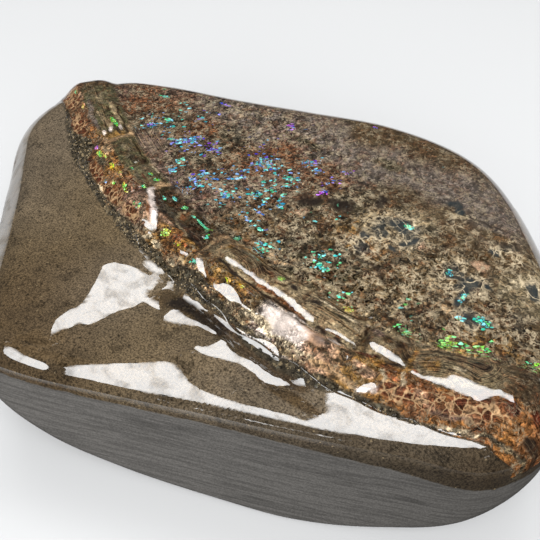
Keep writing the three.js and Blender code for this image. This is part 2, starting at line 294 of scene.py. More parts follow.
# The place of the camera, what it looks at, and the lamp that the facets mirror to it
EYE = np.array((0.12107, -0.10018, 0.16251))
AIM = np.array((0.01042, 0.00668, 0.02400))
AWAY = (AIM - EYE)[:2] / np.hypot(*(AIM - EYE)[:2])
LAMP_HEIGHT = 1.0
LAMP_NEAR, LAMP_FAR = 0.19, 0.57
LAMP_MIDDLE = (LAMP_NEAR + LAMP_FAR) / 2
LAMP_WIDTH = 0.90

# The polish left shallow facets that lean to the front. They are given in millimetres on plan axes turned to
# face the front, as stations of: place to the right, near edge, far edge.
FACETS = (  # the swelling of the bare rock
    ((-40.5, -42.5, -39), (-40, -42.2, -37), (-38, -41, -34.5), (-36, -40.5, -33.5), (-34, -38.7, -31.5),
     (-33, -39.2, -25), (-32.3, -39.6, -17.8), (-31, -39.5, -16.6), (-29, -38, -16.8), (-27, -36, -17.2),
     (-25, -35, -18), (-23, -34.2, -19.3), (-21, -33.5, -21.3), (-20, -32.6, -21.8), (-19, -27.8, -22.2),
     (-17.6, -27, -21), (-17, -25, -22)),
    ((-21.2, -17.6, -16.8), (-20.2, -19, -16.6), (-18.8, -20.6, -17.4), (-17, -21.8, -19.6),
     (-15.2, -23, -21.4)),
    # near bank of the trench
    ((-20.3, -31, -29.3), (-18, -33.2, -30.4), (-16, -34.6, -32), (-14.8, -35, -33.2)),
    ((-14.4, -36.6, -35.9), (-13, -37.8, -34), (-12, -38.2, -33.5), (-10.5, -38.6, -34.6),
     (-8, -39.1, -36.7), (-6, -39.8, -37.7), (-3, -41.6, -39.5), (-0.4, -43.6, -41.8)),
    ((-5.8, -47, -46.2), (-4, -48.8, -46.4), (-2, -49.6, -46.3), (-0.5, -50, -44.3), (0.5, -50.2, -43.6),
     (2, -50.8, -44.8), (3, -51, -47.3), (5, -51.6, -49), (7.5, -53.5, -50), (9, -55, -51.2),
     (11, -57, -53), (13, -57.8, -54.5), (15, -58, -55.5), (16.5, -58, -57)),
    ((17.3, -57.4, -56.4), (18.3, -57.6, -55.2), (19.8, -57.9, -56)),
    # far bank of the trench
    ((-16, -28, -26.8), (-14.4, -28.2, -25.2), (-12.6, -26, -24.2), (-11.7, -25.6, -25)),
    ((-10.4, -29.9, -28.7), (-8, -31.9, -30.3), (-5, -34.3, -32.5), (-2, -37, -35.1), (0, -39, -37),
     (3, -42.2, -39.8), (5, -44.1, -41.6), (8, -46.3, -43.8), (11, -48.6, -45.4), (13, -50.6, -46.3),
     (14.3, -51, -48)),
    # front rim
    ((-51, -47.6, -46.2), (-49, -48.8, -45.6), (-46, -50.2, -47.8), (-43, -51.3, -49), (-40, -52.2, -50.1),
     (-38, -52.8, -51.2), (-36, -53.4, -51.8), (-33, -54.2, -51.4), (-30, -54.9, -51.4),
     (-25, -56.2, -51.2), (-20, -57.6, -50.9), (-15, -58.8, -50.7), (-12, -59.5, -50.5),
     (-10, -60.1, -51.4), (-8, -60.7, -53.4), (-6, -61.2, -56.5), (-3, -61.9, -58.5), (0, -62.6, -60),
     (5, -64, -62), (10, -65.3, -63.3), (15, -66.6, -64.7), (20, -68, -66.6), (22.8, -68.7, -65.3),
     (24.4, -69, -64.4), (24.7, -69.1, -59.7), (27, -69.5, -59.4), (30, -70, -60.9), (33, -70.7, -63),
     (36, -71.3, -65.1), (40, -71.9, -67.2), (45, -72.6, -68.5), (50, -73, -70.2), (55, -73.6, -71.7),
     (58, -73.8, -72.9)),
    # ridges of the band
    ((-24.2, -2.8, -1), (-22.4, -5.4, -3.2), (-20.9, -7, -5.2), (-20.4, -7.4, 0.3), (-19.4, -7.9, 0.2),
     (-18.6, -8, -5.5)),
    ((-9.8, -8.3, -7.5), (-8, -9.8, -8.7), (-6.5, -11.7, -10.3), (-5.4, -13.2, -12), (-4.9, -15, -13.4)),
    ((-12.2, -16.7, -16), (-11, -18, -16.3), (-10, -18.8, -17.4), (-9, -19.1, -18.3)),
    ((-7.2, -21, -19.6), (-6.3, -24, -19.3), (-5, -24.8, -21), (-4.4, -26.2, -23.6), (-3.4, -27.6, -26.3)),
    ((-2.8, -28.8, -27.4), (-2, -29.8, -27.6), (0, -31.6, -27.9), (1.5, -33.6, -28.1), (3, -34.6, -29.6),
     (4.3, -35.1, -31.3), (5, -35.7, -34.2), (6, -36.9, -35.5), (8, -38.4, -37.2), (9.8, -39.8, -38.4)),
    ((0.2, -19.6, -18.7), (2, -22, -19.9), (3.5, -23, -21), (5.2, -24.6, -22.8), (7, -26.7, -24.8),
     (9, -28.7, -26.9), (11, -30.4, -28.6), (13, -32.2, -30.2), (15, -34.2, -31.8), (16.5, -35.9, -33.4),
     (18, -38, -34.8), (19.5, -39.8, -36.5), (21, -41.6, -38.6), (22.3, -42.8, -41)),
    ((24.8, -44.4, -43.6), (27, -45.6, -44.6), (29, -47.3, -46.3), (30.5, -48.6, -47.5),
     (32.2, -49.5, -48.9)),
    ((34.6, -49.6, -47.6), (35.5, -50.6, -48), (37, -51.8, -48.8), (39, -53.6, -50.8), (41, -55.2, -53),
     (42.2, -55.9, -55.1)),
    ((42.8, -57.4, -56.2), (45, -58.9, -57.7), (47, -59.9, -58), (49.5, -60.7, -58.7), (51, -61.7, -58.4),
     (52, -62.4, -57.5), (54, -63.7, -58.3), (56, -64.9, -59.7), (57.2, -65, -60.5), (59, -63.5, -61.5),
     (61, -63.4, -61.8), (63, -64.8, -62.6), (64.4, -65, -64)),
    ((30.8, -61, -59.6), (33, -60.9, -58.5), (35.2, -60.5, -58.3)),
)
CELL = 0.0004  # of the grid on which the facets are worked out
REACH = 0.112  # of that grid, from its middle
EDGE = 0.00025  # how softly a facet begins and ends
TRIM = 0.0002  # the light spreads this far past the edge of a facet
DARK = 0.03  # how far any other slope stays from those of the facets
# How firmly a slope is held, away and to the right: on a facet, elsewhere, and where it is kept off the light
HOLD_FACET, HOLD_FREE, HOLD_OFF = (100, 10), (1, 0.1), 10
KEPT_RIM, PINNED = 0.985, 1e4  # share of the way out from where the rim keeps its height, and how firmly
RAGGED = (  # the edges of facets, to the right and away: size of the waves, seed, reach on rock and on nacre
    (0.0011, 5, 1.5e-4, 3.5e-4), (0.0009, 6, 1e-4, 3e-4),
)
SPREAD = 0.020  # how far a facet pulls the stone about it up or down
SPARE = 0.06  # light that just misses a facet is dulled this far round the lamp
SETTLE_STEPS, SETTLE_ROUNDS = 200, 3  # most steps of one solution, and how often the facets are set anew
STEEP_SIDE = (-0.012, -0.001)  # across the keel, where the nacre slope is


def turned(x, y):
    """Plan points on the axes that face the front: places to the right and away."""
    return x * AWAY[1] - y * AWAY[0], x * AWAY[0] + y * AWAY[1]


def facet_cover(right, away):
    cover = np.zeros(right.shape)
    for facet in FACETS:
        place, near, far = np.array(facet).T * MM
        near, far = near + TRIM, far - TRIM
        low, high = np.interp(right, place, near), np.interp(right, place, far)
        inside = between(low, high, EDGE, away) * between(place[0], place[-1], EDGE, right)
        cover = np.maximum(cover, inside)
    return cover


def halves(field, axis):
    """Values half way between neighbours."""
    if axis:
        return field[:, 1:] / 2 + field[:, :-1] / 2
    return field[1:] / 2 + field[:-1] / 2


def unit(vectors):
    return vectors / np.linalg.norm(vectors, axis=-1, keepdims=True)


def slopes(height):
    return np.diff(height, axis=0) / CELL, np.diff(height, axis=1) / CELL


def sight_lines(place):
    return unit(place - np.array((*turned(EYE[0], EYE[1]), EYE[2])))


def mirrors_lamp(right, away, height, spare=0.0):
    """Where a polished surface of these heights shows the lamp, made larger by a spare edge, to the front."""
    slope_right, slope_away = np.gradient(height, CELL)
    normal = unit(np.stack([-slope_right, -slope_away, np.ones_like(height)], -1))
    sight = sight_lines(np.stack([right, away, height], -1))
    back = sight - 2 * (sight * normal).sum(-1, keepdims=True) * normal
    rise = (LAMP_HEIGHT - height) / np.maximum(back[..., 2], 1e-6)
    hit_right, hit_away = right + back[..., 0] * rise, away + back[..., 1] * rise
    beside = abs(hit_right) < LAMP_WIDTH / 2 + spare
    return (back[..., 2] > 0) & beside & (hit_away > LAMP_NEAR - spare) & (hit_away < LAMP_FAR + spare)


def settled(height, wanted, hold, keep):
    """Heights with slopes as near as may be to the wanted ones, by conjugate gradients."""
    def spread(slope_right, slope_away):
        total = np.zeros_like(height)
        total[1:] += slope_right
        total[:-1] -= slope_right
        total[:, 1:] += slope_away
        total[:, :-1] -= slope_away
        return total

    def pulled(field):
        return field * keep + spread(np.diff(field, axis=0) * hold[0], np.diff(field, axis=1) * hold[1])
    stiff = keep.copy()
    stiff[1:] += hold[0]
    stiff[:-1] += hold[0]
    stiff[:, 1:] += hold[1]
    stiff[:, :-1] += hold[1]
    rest = spread(hold[0] * wanted[0] * CELL, hold[1] * wanted[1] * CELL) - pulled(height)
    step = rest / stiff
    size = (rest * step).sum()
    for _ in range(SETTLE_STEPS):
        pull = pulled(step)
        share = size / (step * pull).sum()
        height = height + share * step
        rest = rest - share * pull
        eased_rest = rest / stiff
        new_size = (rest * eased_rest).sum()
        step = eased_rest + new_size / size * step
        size = new_size
    return height


def facet_relief():
    """Heights that facets add to the plain top, where the polish is broken, and where the facets are."""
    line = np.arange(-REACH, REACH + CELL / 2, CELL)
    right, away = np.meshgrid(line, line, indexing="ij")
    x, y = right * AWAY[1] + away * AWAY[0], away * AWAY[1] - right * AWAY[0]
    _, share = locate(x, y)
    inside = share < 1.02
    along, across = np.zeros_like(x), np.full_like(x, -0.03)
    along[inside], across[inside] = keel_place(x[inside], y[inside])
    height = np.where(inside, top_height(x, y, along, across), 0)
    place = np.stack([right, away, height], -1)
    sight = sight_lines(place)
    to_lamp = [unit(np.array((0, at, LAMP_HEIGHT)) - place) for at in (LAMP_FAR, LAMP_MIDDLE, LAMP_NEAR)]
    low, lit, high = [(sight - way)[..., :2] / (way - sight)[..., 2:] for way in to_lamp]
    low, high = halves(low[..., 1], 1), halves(high[..., 1], 1)
    lit = halves(lit[..., 0], 0), halves(lit[..., 1], 1)
    plain = slopes(height)
    on_band = smooth(-0.012, -0.010, across)
    ragged_right, ragged_away = [
        wander(right, away, size, seed) * mix(rock, nacre, on_band) for size, seed, rock, nacre in RAGGED]
    steep = halves((across > STEEP_SIDE[0]) & (across < STEEP_SIDE[1]) | (share > 0.9), 1) > 0
    middle = (low + high) / 2
    over, below = np.maximum(plain[1], high + DARK), np.minimum(plain[1], low - DARK)
    kept_off = np.where(steep & (plain[1] > middle), over, below)
    on_stone = halves((share < 0.995) * 1.0, 1) > 0.5
    keep = np.where(share > KEPT_RIM, PINNED, 1) * (CELL / SPREAD) ** 2
    rise = crowns_and_troughs(along, across)
    added = np.zeros_like(height)
    for turn in range(SETTLE_ROUNDS):
        # facets are given as seen on a plain swell, so they move along the sight lines as it rises
        drift = -(rise + added) / sight[..., 2]
        seen_right, seen_away = right + sight[..., 0] * drift, away + sight[..., 1] * drift
        cover = facet_cover(seen_right + ragged_right, seen_away + ragged_away)
        on = halves(cover, 0) > 0.5, halves(cover, 1) > 0.5
        hold_right = np.where(on[0], HOLD_FACET[1], HOLD_FREE[1])
        hold_away = np.where(on[1], HOLD_FACET[0], HOLD_FREE[0])
        hold_away = np.where(~on[1] & (kept_off != plain[1]), HOLD_OFF, hold_away)
        wanted_right = np.where(on[0], lit[0] - plain[0], 0)
        wanted_away = np.where(on[1], lit[1], kept_off) - plain[1]
        if turn:
            stray = mirrors_lamp(right, away, height + added) * (cover < 0.5)
            stray = (halves(stray, 1) > 0) & ~on[1]
            slope = plain[1] + slopes(added)[1]
            off = np.where(steep & (slope > middle), high + 2 * DARK, low - 2 * DARK) - plain[1]
            wanted_away = np.where(stray, off, wanted_away)
            hold_away = np.where(stray, 3 * HOLD_OFF, hold_away)
        added = settled(added, (wanted_right, wanted_away), (hold_right, hold_away * on_stone), keep)
    broken = mirrors_lamp(right, away, height + added, SPARE) & (cover < 0.3) & (share < KEPT_RIM)
    grown = broken.copy()
    for step in (1, -1):
        grown |= np.roll(broken, step, 0) | np.roll(broken, step, 1)
    return added, grown * (1 - smooth(0.0, 0.5, cover)), cover


FACET_RELIEF, BROKEN_POLISH, FACET_COVER = facet_relief()


def read_grid(field, x, y):
    """Values of a grid of the turned axes at plan points."""
    right, away = turned(x, y)
    i, j = (right + REACH) / CELL, (away + REACH) / CELL
    a, b = np.floor(i).astype(int), np.floor(j).astype(int)
    near = mix(field[a, b], field[a + 1, b], i - a)
    far = mix(field[a, b + 1], field[a + 1, b + 1], i - a)
    return mix(near, far, j - b)


# ---------------- grounds and marks

# Finishes of the grounds and marks: what each is, and its colour in plain light
FINISHES = {
    "peat": ("Black-brown of slits and hollows", (0.02, 0.013, 0.009)),
    "slate": ("Blue-grey lenses of the flank", (0.032, 0.04, 0.042)),
    "umber": ("Dark brown ground of the flank", (0.098, 0.062, 0.029)),
    "moss": ("Dark olive ground of the flank", (0.06, 0.05, 0.028)),
    "olive": ("Fill of the first chambers", (0.115, 0.105, 0.05)),
    "sage": ("Paler fill of the middle chambers", (0.235, 0.185, 0.105)),
    "russet": ("Red-brown nacre", (0.19, 0.074, 0.03)),
    "maroon": ("Deep red cells of the nacre", (0.085, 0.02, 0.01)),
    "plum": ("Mauve-brown nacre", (0.16, 0.1, 0.08)),
    "mauve": ("Pale striated nacre", (0.25, 0.17, 0.13)),
    # The grey-lilac finish is a painted reflection: the veil of the pale surround seen near the back rim
    "haze": ("Grey-lilac ground near the back rim", (0.18, 0.145, 0.12)),
    "amber": ("Orange-brown nacre", (0.3, 0.128, 0.036)),
    "gold": ("Golden brown nacre", (0.3, 0.16, 0.042)),
    "flame": ("Orange-red nacre", (0.62, 0.19, 0.07)),
    "tan": ("Walls between chambers", (0.56, 0.36, 0.19)),
    "sand": ("Pale fill and veins", (0.37, 0.28, 0.16)),
    "cream": ("Palest crumbs and veins", (0.8, 0.65, 0.43)),
    # The palest nacre finish is pearly nacre and also painted highlight: white glints of the lamp, and the
    # bright reflection on the pearly patch
    "pearl": ("Pearly nacre", (1.0, 0.86, 0.77)),
    "peach": ("Pinkish nacre", (0.62, 0.38, 0.24)),
    "crust": ("Grey-green crust along the foot", (0.036, 0.029, 0.019)),
    "grit": ("Pale grit in the crust", (0.16, 0.15, 0.108)),
    "stone": ("Polished bare rock", (0.143, 0.101, 0.053)),
    "soil": ("Brown fill of the trench", (0.062, 0.041, 0.024)),
    "loam": ("Darker bare rock", (0.09, 0.06, 0.031)),
    "ash": ("Greyer bare rock", (0.146, 0.112, 0.074)),
    "wall": ("Unpolished side of the rock", (0.103, 0.098, 0.092)),
}

# Ground along the nacre slope and along the chambers: distance along the keel, colour
NACRE = (
    (18, "umber"), (26, "russet"), (34, "umber"), (42, "russet"), (50, "russet"), (56, "amber"),
    (62, "umber"), (66, "amber"), (72, "gold"), (78, "amber"), (84, "amber"), (92, "plum"), (97, "peach"),
    (104, "plum"), (110, "gold"), (115, "amber"), (120, "gold"), (126, "umber"), (132, "gold"),
    # from 150 to 159 along the ground is pearly nacre with a painted highlight of the lamp on it
    (140, "gold"), (147, "umber"), (150, "pearl"), (159, "pearl"), (164, "peach"), (169, "peach"),
    (173, "gold"), (178, "gold"), (186, "amber"), (190, "russet"), (194, "amber"), (198, "amber"),
    (202, "russet"), (208, "amber"), (216, "russet"),
)
FILLS = (
    (18, "peat"), (26, "umber"), (31, "olive"), (42, "olive"), (56, "olive"), (60, "gold"), (64, "olive"),
    (78, "olive"), (82, "olive"), (90, "olive"), (93, "moss"), (96, "peat"), (104, "peat"), (108, "moss"),
    (112, "peat"), (120, "peat"), (123, "umber"), (127, "sage"), (134, "sage"), (139, "umber"),
    (145, "sand"), (153, "sand"), (162, "sand"), (170, "sand"), (174, "umber"), (177, "sand"),
    (182, "umber"), (187, "sage"), (195, "sage"), (202, "sage"), (209, "umber"), (216, "peat"),
)
SHOULDER = (  # where the nacre slope turns into the chambers: along, across
    (18, -2), (40, -3), (56, -2.5), (64, -1), (80, -0.6), (91, 0), (97, -0.8), (104, -1.5), (120, -0.6),
    (126, 0.2), (136, -0.4), (150, 0), (158, 0.6), (164, -0.4), (175, 0.6), (185, 0), (196, -0.8),
    (216, -0.5),
)
BAND_END = ((18, 9), (60, 8.4), (90, 8.6), (125, 9.6), (150, 11), (185, 10), (216, 10))  # along, across
CRUST = (  # along, lower edge, upper edge
    (30, -9.4, -9.2), (36, -9.7, -9), (44, -10.4, -9.3), (50, -11.2, -8.6), (56, -11.8, -5.6),
    (62, -12, -4.6), (66, -11.7, -8), (70, -11.3, -9.6), (80, -11.4, -9.5), (92, -11.3, -8.9),
    (100, -11.3, -7.8), (109, -11.4, -8.8), (115, -10.6, -7.6), (120, -10.6, -8.6), (124, -11.3, -6.2),
    (131, -11.2, -6.1), (137, -10.4, -7.7), (144, -9.9, -7.9), (148, -9.6, -8.0), (153, -9.6, -8.6),
    (160, -10, -8.9), (168, -10.4, -8.3), (176, -9.9, -8.2), (184, -10, -8.5), (192, -9.4, -8.3),
    (200, -8.8, -7.9), (216, -8.2, -7.6),
)
CRUST_SOFT = 0.35  # how softly the crust begins and ends

# Places on the band and the flank are in millimetres: along and across the keel, or on the plan. Patches of
# all kinds end with half length, half width and, where they are turned, a turn in degrees.
# Bare places in the crust: colour, along, across, and the rest of the patch
CRUST_GAPS = (
    ("sand", 120.5, -6.7, 3.6, 0.8), ("tan", 134.2, -7.6, 3.2, 0.7, 4), ("sand", 137.5, -6.6, 1.6, 0.5),
    ("sand", 145.6, -7.5, 3.4, 0.8), ("sand", 104.5, -8.4, 1.6, 0.5), ("tan", 127, -5.9, 2, 0.5),
    ("sand", 66, -10.6, 2.2, 0.3), ("tan", 88, -10, 3, 0.35), ("cream", 198, -8.2, 5, 0.4),
)
# Patches of the band: colour, along, across, and the rest of the patch
BAND_PATCHES = (
    ("peat", 21, 4.4, 5, 2.6), ("umber", 25, 1, 4, 2), ("umber", 27, -2.4, 3, 0.9),
    ("sage", 36, 2.4, 3, 1.6, -10), ("haze", 42, -1.8, 6, 0.9, -6), ("haze", 50, -2.2, 5, 0.8, 4),
    ("maroon", 43.5, -6.4, 2.4, 0.7, 8), ("maroon", 50, -4.7, 2, 0.7), ("maroon", 33, -7.2, 3, 0.6),
    ("cream", 40.5, -9.5, 1.8, 0.6, 6), ("peach", 53, -8.3, 2.6, 0.5), ("peach", 32, -3.8, 2.2, 0.8),
    ("peat", 43.8, 3.8, 2.2, 0.5, 4), ("peat", 48.6, 4.7, 1.3, 0.6, 25),
    # the three palest patches near 56 along are painted highlights: white glints of the lamp
    ("pearl", 56.4, 1.8, 1.4, 0.7, -20), ("pearl", 57.2, -0.5, 1.4, 0.45, -12),
    ("pearl", 56, 5.3, 1.5, 0.6), ("peat", 53.8, 0.5, 0.9, 0.5, 50), ("peat", 58.2, 4, 1.8, 0.5),
    ("sand", 66, 5.9, 1.8, 0.7), ("peat", 73.2, 6.6, 1.1, 0.5), ("peat", 77.2, 5.6, 0.9, 1.8, 25),
    ("moss", 75.5, 3.4, 2.2, 1.4, 40), ("sage", 68.4, 3, 2.4, 1), ("amber", 70, -1.6, 5, 0.7, -2),
    ("amber", 76.5, -1.6, 3, 0.5), ("maroon", 68.5, -7.9, 2.2, 0.9), ("maroon", 76.5, -8.2, 2, 0.8),
    ("moss", 72, -5.4, 2.4, 1.2), ("gold", 78, -3, 2.6, 0.8), ("sage", 83, 5, 2.6, 1.8),
    ("maroon", 86.6, 2.7, 2.2, 0.45), ("moss", 87, 0.9, 3, 0.9), ("maroon", 88.4, -1.3, 3, 0.6, -4),
    ("peach", 95, -4.8, 3, 0.7), ("russet", 101.6, -2.7, 2.6, 0.8, -8), ("peach", 106.5, -0.8, 2.6, 0.6),
    ("moss", 103, 3, 4, 1, -14), ("russet", 106.8, 4.3, 2.2, 0.8, -10), ("sand", 105.4, 6.1, 0.8, 0.4),
    ("umber", 99, 8.4, 4, 0.5), ("peach", 108.5, -1, 2.2, 0.8), ("flame", 115.2, -2.7, 1.3, 1.1, 20),
    ("amber", 113.4, -1.2, 1.5, 0.5), ("flame", 119.4, -2.6, 1, 0.4), ("cream", 119.6, -7.4, 2.4, 0.9, 4),
    ("cream", 111.3, -7.2, 1.5, 0.8), ("crust", 108.6, -7, 0.9, 1), ("peat", 130.4, -0.2, 1.1, 0.9),
    ("peat", 135.2, -0.3, 1.8, 0.9), ("umber", 129, 1.5, 1, 0.7), ("sage", 130, 8, 3.4, 2, -8),
    ("sand", 131, 10.2, 2.5, 1), ("peat", 139.5, 6.6, 2.2, 1.3, -20), ("russet", 142, 6.2, 1.4, 1.1, -30),
    ("peat", 133, 0.4, 0.9, 0.5), ("peat", 149.6, 7.2, 1.3, 1), ("moss", 145.6, 8.4, 1, 1.4),
    ("sand", 150, 5, 4, 0.7, 2), ("peat", 156.6, 7.3, 1.6, 1.2, -25), ("umber", 158, 6, 2.6, 0.7, -8),
    ("moss", 164.5, 7, 3, 0.6), ("cream", 160, 9.2, 4, 0.7, 2), ("cream", 166.5, 8.3, 2.6, 0.7),
    ("peat", 163, 0.7, 1.8, 0.7, -8), ("peat", 168.5, 0.6, 1.8, 0.6, 10), ("russet", 167, 1.4, 2, 0.4),
    ("mauve", 175.4, 7.7, 2, 1.2, -10), ("peat", 181.6, 6.4, 1.4, 0.9, 20), ("peat", 184.4, 4, 1, 1.6, 10),
    ("umber", 178.6, 6.6, 1.6, 0.9), ("sand", 180.6, 8.8, 2.4, 0.8, -6), ("peat", 182.5, 0.2, 2.4, 0.5, -4),
    ("maroon", 175.5, 0.7, 3.2, 0.5), ("russet", 181.4, -1.2, 2.4, 0.9, -10), ("peach", 177, -3.4, 3, 1.2),
    ("umber", 172, -1.8, 2.2, 1.6, 60), ("flame", 183, -2.9, 2, 0.6), ("flame", 187.2, 0.5, 1.1, 0.4, -12),
    ("flame", 191, 2.8, 0.8, 0.5), ("flame", 187.6, -4.4, 1, 1.1, 20), ("peach", 191, -4.6, 2.4, 0.9, -10),
    ("maroon", 197.2, -3.6, 2, 0.9), ("maroon", 204, -3, 2.6, 1.4), ("gold", 190, 4, 2, 2.4, 40),
    ("peat", 201, 6.6, 2.2, 1.5, -8), ("cream", 196.4, 4.4, 1.6, 0.7), ("crust", 132.5, 2, 0.8, 0.4),
    # the palest patches from 150 to 168 along are pearly nacre, made brighter by a painted highlight of the
    # lamp
    ("pearl", 154, -2.4, 4.6, 2.4, -4), ("pearl", 160, -3.6, 3, 1, -6), ("cream", 152, -5.6, 7, 1.1),
    ("cream", 144, -7.6, 4, 0.8, -2), ("peach", 160.6, -0.8, 2.4, 0.8, -6),
    ("mauve", 166, -2.6, 2.6, 0.9, -8), ("pearl", 168.4, -0.8, 1.6, 0.6, 10),
    ("pearl", 157.5, -5.2, 4.6, 1.7), ("sand", 158, -7.9, 7, 0.7), ("umber", 197, -1.2, 7, 0.8, -4),
    ("maroon", 208, -2.6, 2.4, 1.2), ("maroon", 213.5, -1.4, 1.8, 1.4), ("peat", 214, -5.4, 2.4, 1.6, 20),
    ("russet", 190, -2.4, 4, 0.8, -6), ("mauve", 197, -6, 5, 0.9),
)
# Strokes of the band: colour, half width, points
BAND_STROKES = (
    ("sand", 0.75, ((41, 5.3), (47, 5.5), (53.5, 5.7))),
    ("sand", 0.7, ((45.4, 0), (48, 0.7), (51, 0.9), (54.6, 1.8))),
    ("peat", 0.34, ((43, 6.6), (49, 6.3), (54, 6.9), (58.5, 6.4), (60, 5.6))),
    ("umber", 0.4, ((28, 6.6), (32, 5), (34, 2))),
    ("tan", 1.0, ((59.8, 7.6), (61.4, 5.4), (62.2, 3), (63.6, 0.4))),
    ("tan", 0.8, ((55, 8.2), (59, 8), (61, 6.4))), ("tan", 0.7, ((60, -1), (64, -1.4), (69, -1.3))),
    ("tan", 0.6, ((63, 0), (66, -2.6), (70, -3))), ("peat", 0.34, ((65.4, 6.4), (68, 7), (72, 7.1))),
    ("peat", 0.34, ((74, 7.2), (77, 7), (78.8, 4.6), (78.6, 2.4))),
    ("tan", 0.45, ((78.8, 11), (79.3, 7), (79.2, 3), (79.6, 0), (80.6, -1))),
    ("peat", 0.34, ((80, 8.3), (84, 8), (88, 7.2), (90, 7.4))), ("cream", 0.35, ((80.5, 7.7), (84, 7.5))),
    ("tan", 0.9, ((91.4, 9), (91, 6.6), (92, 4.2), (92.6, 2.4))),
    # the palest stroke from 92 to 107 along is a painted highlight: the white glint wedge of the lamp
    ("pearl", 0.75, ((92.4, 2.6), (94.5, 1), (98, -0.2), (101.5, -1.2), (104.2, -2.8), (106.8, -4.2))),
    ("peach", 0.9, ((99, -4.4), (103, -4.5), (107, -4.1))),
    ("peat", 0.34, ((93, 7.6), (96, 9.2), (104, 9.4))),
    ("sand", 0.35, ((103.6, 5.4), (107, 2.6), (111, 0.8), (116, -0.4))),
    ("peat", 0.34, ((104, 8.9), (110, 9), (117, 8.4))),
    ("umber", 0.4, ((106, 9.8), (113, 9.8), (119.5, 7.6), (121.4, 5))),
    ("cream", 0.34, ((104, -5.6), (102.8, -7.4), (104.4, -8.9), (107.2, -8.8), (108, -6.9))),
    ("tan", 0.34, ((103.9, -6.6), (104.4, -8), (106.4, -8), (106.8, -6.6))),
    ("tan", 0.8, ((122.8, 8), (122.2, 5), (123, 2), (123.8, -0.6))),
    ("umber", 0.4, ((124.6, 3), (124.4, 0), (126, -2.4))),
    ("tan", 0.35, ((123.4, -1.6), (126, -3.6), (129.4, -5.4))),
    ("peat", 0.34, ((127.6, 5), (130, 5.7), (133, 5.8), (136.4, 4.9))),
    ("peat", 0.34, ((131, 9.8), (136, 9.5), (141, 9.4), (146, 9.7), (149.8, 10.5))),
    ("umber", 0.34, ((129, 4.2), (132, 4.7), (136, 3.8))),
    ("tan", 0.34, ((126.4, 3), (126.6, 7), (128.6, 10.4), (133, 11.6))),
    ("gold", 0.34, ((127.4, 3.6), (128, 6.8), (130, 9.2), (134.6, 9.9), (137, 8))),
    ("umber", 0.34, ((135.4, 8.8), (137, 7.2), (138.4, 4.6))),
    ("peat", 0.5, ((129, 0.5), (134, 0.1), (140, 0.4), (146, 0.4), (151, 0.8), (156, 1), (158.6, 0.8))),
    ("russet", 0.5, ((140, 1.6), (146, 2), (152, 1.8), (157, 1.2))),
    ("sand", 0.5, ((133, 1.6), (136.5, 1.2), (141, 1.2))), ("peat", 0.34, ((137, 8), (143.6, 4.6))),
    ("umber", 0.34, ((145, 5.2), (147.6, 6), (148, 9))),
    ("umber", 0.35, ((152.2, 9.8), (153.4, 7), (155, 4.4))),
    ("peat", 0.34, ((153.5, 10.5), (158, 10.3), (163, 10), (170, 10.3))),
    ("umber", 0.34, ((160, 7), (163, 6), (167, 5.4), (172, 5.2))),
    ("umber", 0.45, ((171.8, 9.6), (172.4, 7.4), (173.6, 5.4), (173.2, 3), (174, 1.6))),
    ("peat", 0.34, ((171.2, 8.8), (172, 8), (172.2, 6.4), (174, 5))),
    ("peat", 0.34, ((177.6, 8), (181, 7), (184, 5.6))),
    ("gold", 0.5, ((185.4, 8.4), (185.8, 5), (185.6, 1.4), (184.8, -1))),
    ("cream", 0.34, ((184.6, -1), (186, -3), (185, -5.4))),
    ("cream", 0.34, ((180, -2), (182, -3.6), (181, -5.6))),
    ("peat", 0.34, ((193, 6.6), (197, 6.8), (203, 4.6))),
    ("umber", 0.34, ((187, 6.4), (190, 8.4), (195, 9.4), (202, 8.4))),
    ("umber", 0.34, ((189, 5), (192, 7), (197, 7.8))),
    ("tan", 0.34, ((186.4, 8), (190, 10), (196, 10.8), (204, 9.4))),
    ("cream", 0.34, ((64, -9.2), (70, -9.5), (74, -9.9), (77, -9.6), (80, -8.9), (86, -9.4), (92, -9.1))),
    ("cream", 0.34, ((140, -6.6), (148, -6.3), (160, -6.9), (166, -6.4))),
    ("umber", 0.34, ((164, -4.2), (170, -4.5), (176, -4.1))),
    ("tan", 0.6, ((166, -6.8), (172, -6.4), (178, -7))),
    ("pearl", 0.6, ((177.6, -7.4), (179.4, -6.4), (180.8, -6))),
)
# Narrow cuts: depth, half width, points
CUTS = (
    (0.35, 0.55, ((42, 3.4), (45, 4), (48.6, 4.9))), (0.25, 0.35, ((43, 6.6), (54, 6.9), (59, 6.2))),
    (0.2, 0.4, ((53, 0.3), (54.6, 0.9))), (0.25, 0.4, ((65.4, 6.4), (72, 7.1), (77, 6.8), (78.6, 3.4))),
    (0.15, 0.3, ((80, 8.3), (88, 7.4))), (0.17, 0.3, ((104, 8.9), (117, 8.4))),
    (0.2, 0.35, ((127.6, 5), (133, 5.8), (136.4, 4.9))),
    (0.23, 0.4, ((131, 9.8), (141, 9.4), (149.8, 10.5))),
    (0.2, 0.35, ((153.5, 10.5), (163, 10), (170, 10.3))), (0.15, 0.35, ((137, 8), (143.6, 4.6))),
    (0.17, 0.4, ((160, 7), (172, 5.2))), (0.15, 0.3, ((171.6, 9), (173.2, 3))),
    (0.2, 0.5, ((178, 7.6), (184, 5.6), (184.8, 3))),
)
# Thin walls that stand a little proud: height, half width, points
WALLS = (
    (0.15, 0.9, ((59.8, 7.6), (61.4, 5.4), (62.2, 3), (63.6, 0.4))),
    (0.12, 0.8, ((122.8, 8), (122.2, 5), (123.8, -0.6))),
    (0.2, 0.5, ((104, -5.6), (102.8, -7.4), (104.4, -8.9), (107.2, -8.8), (108, -6.9))),
)
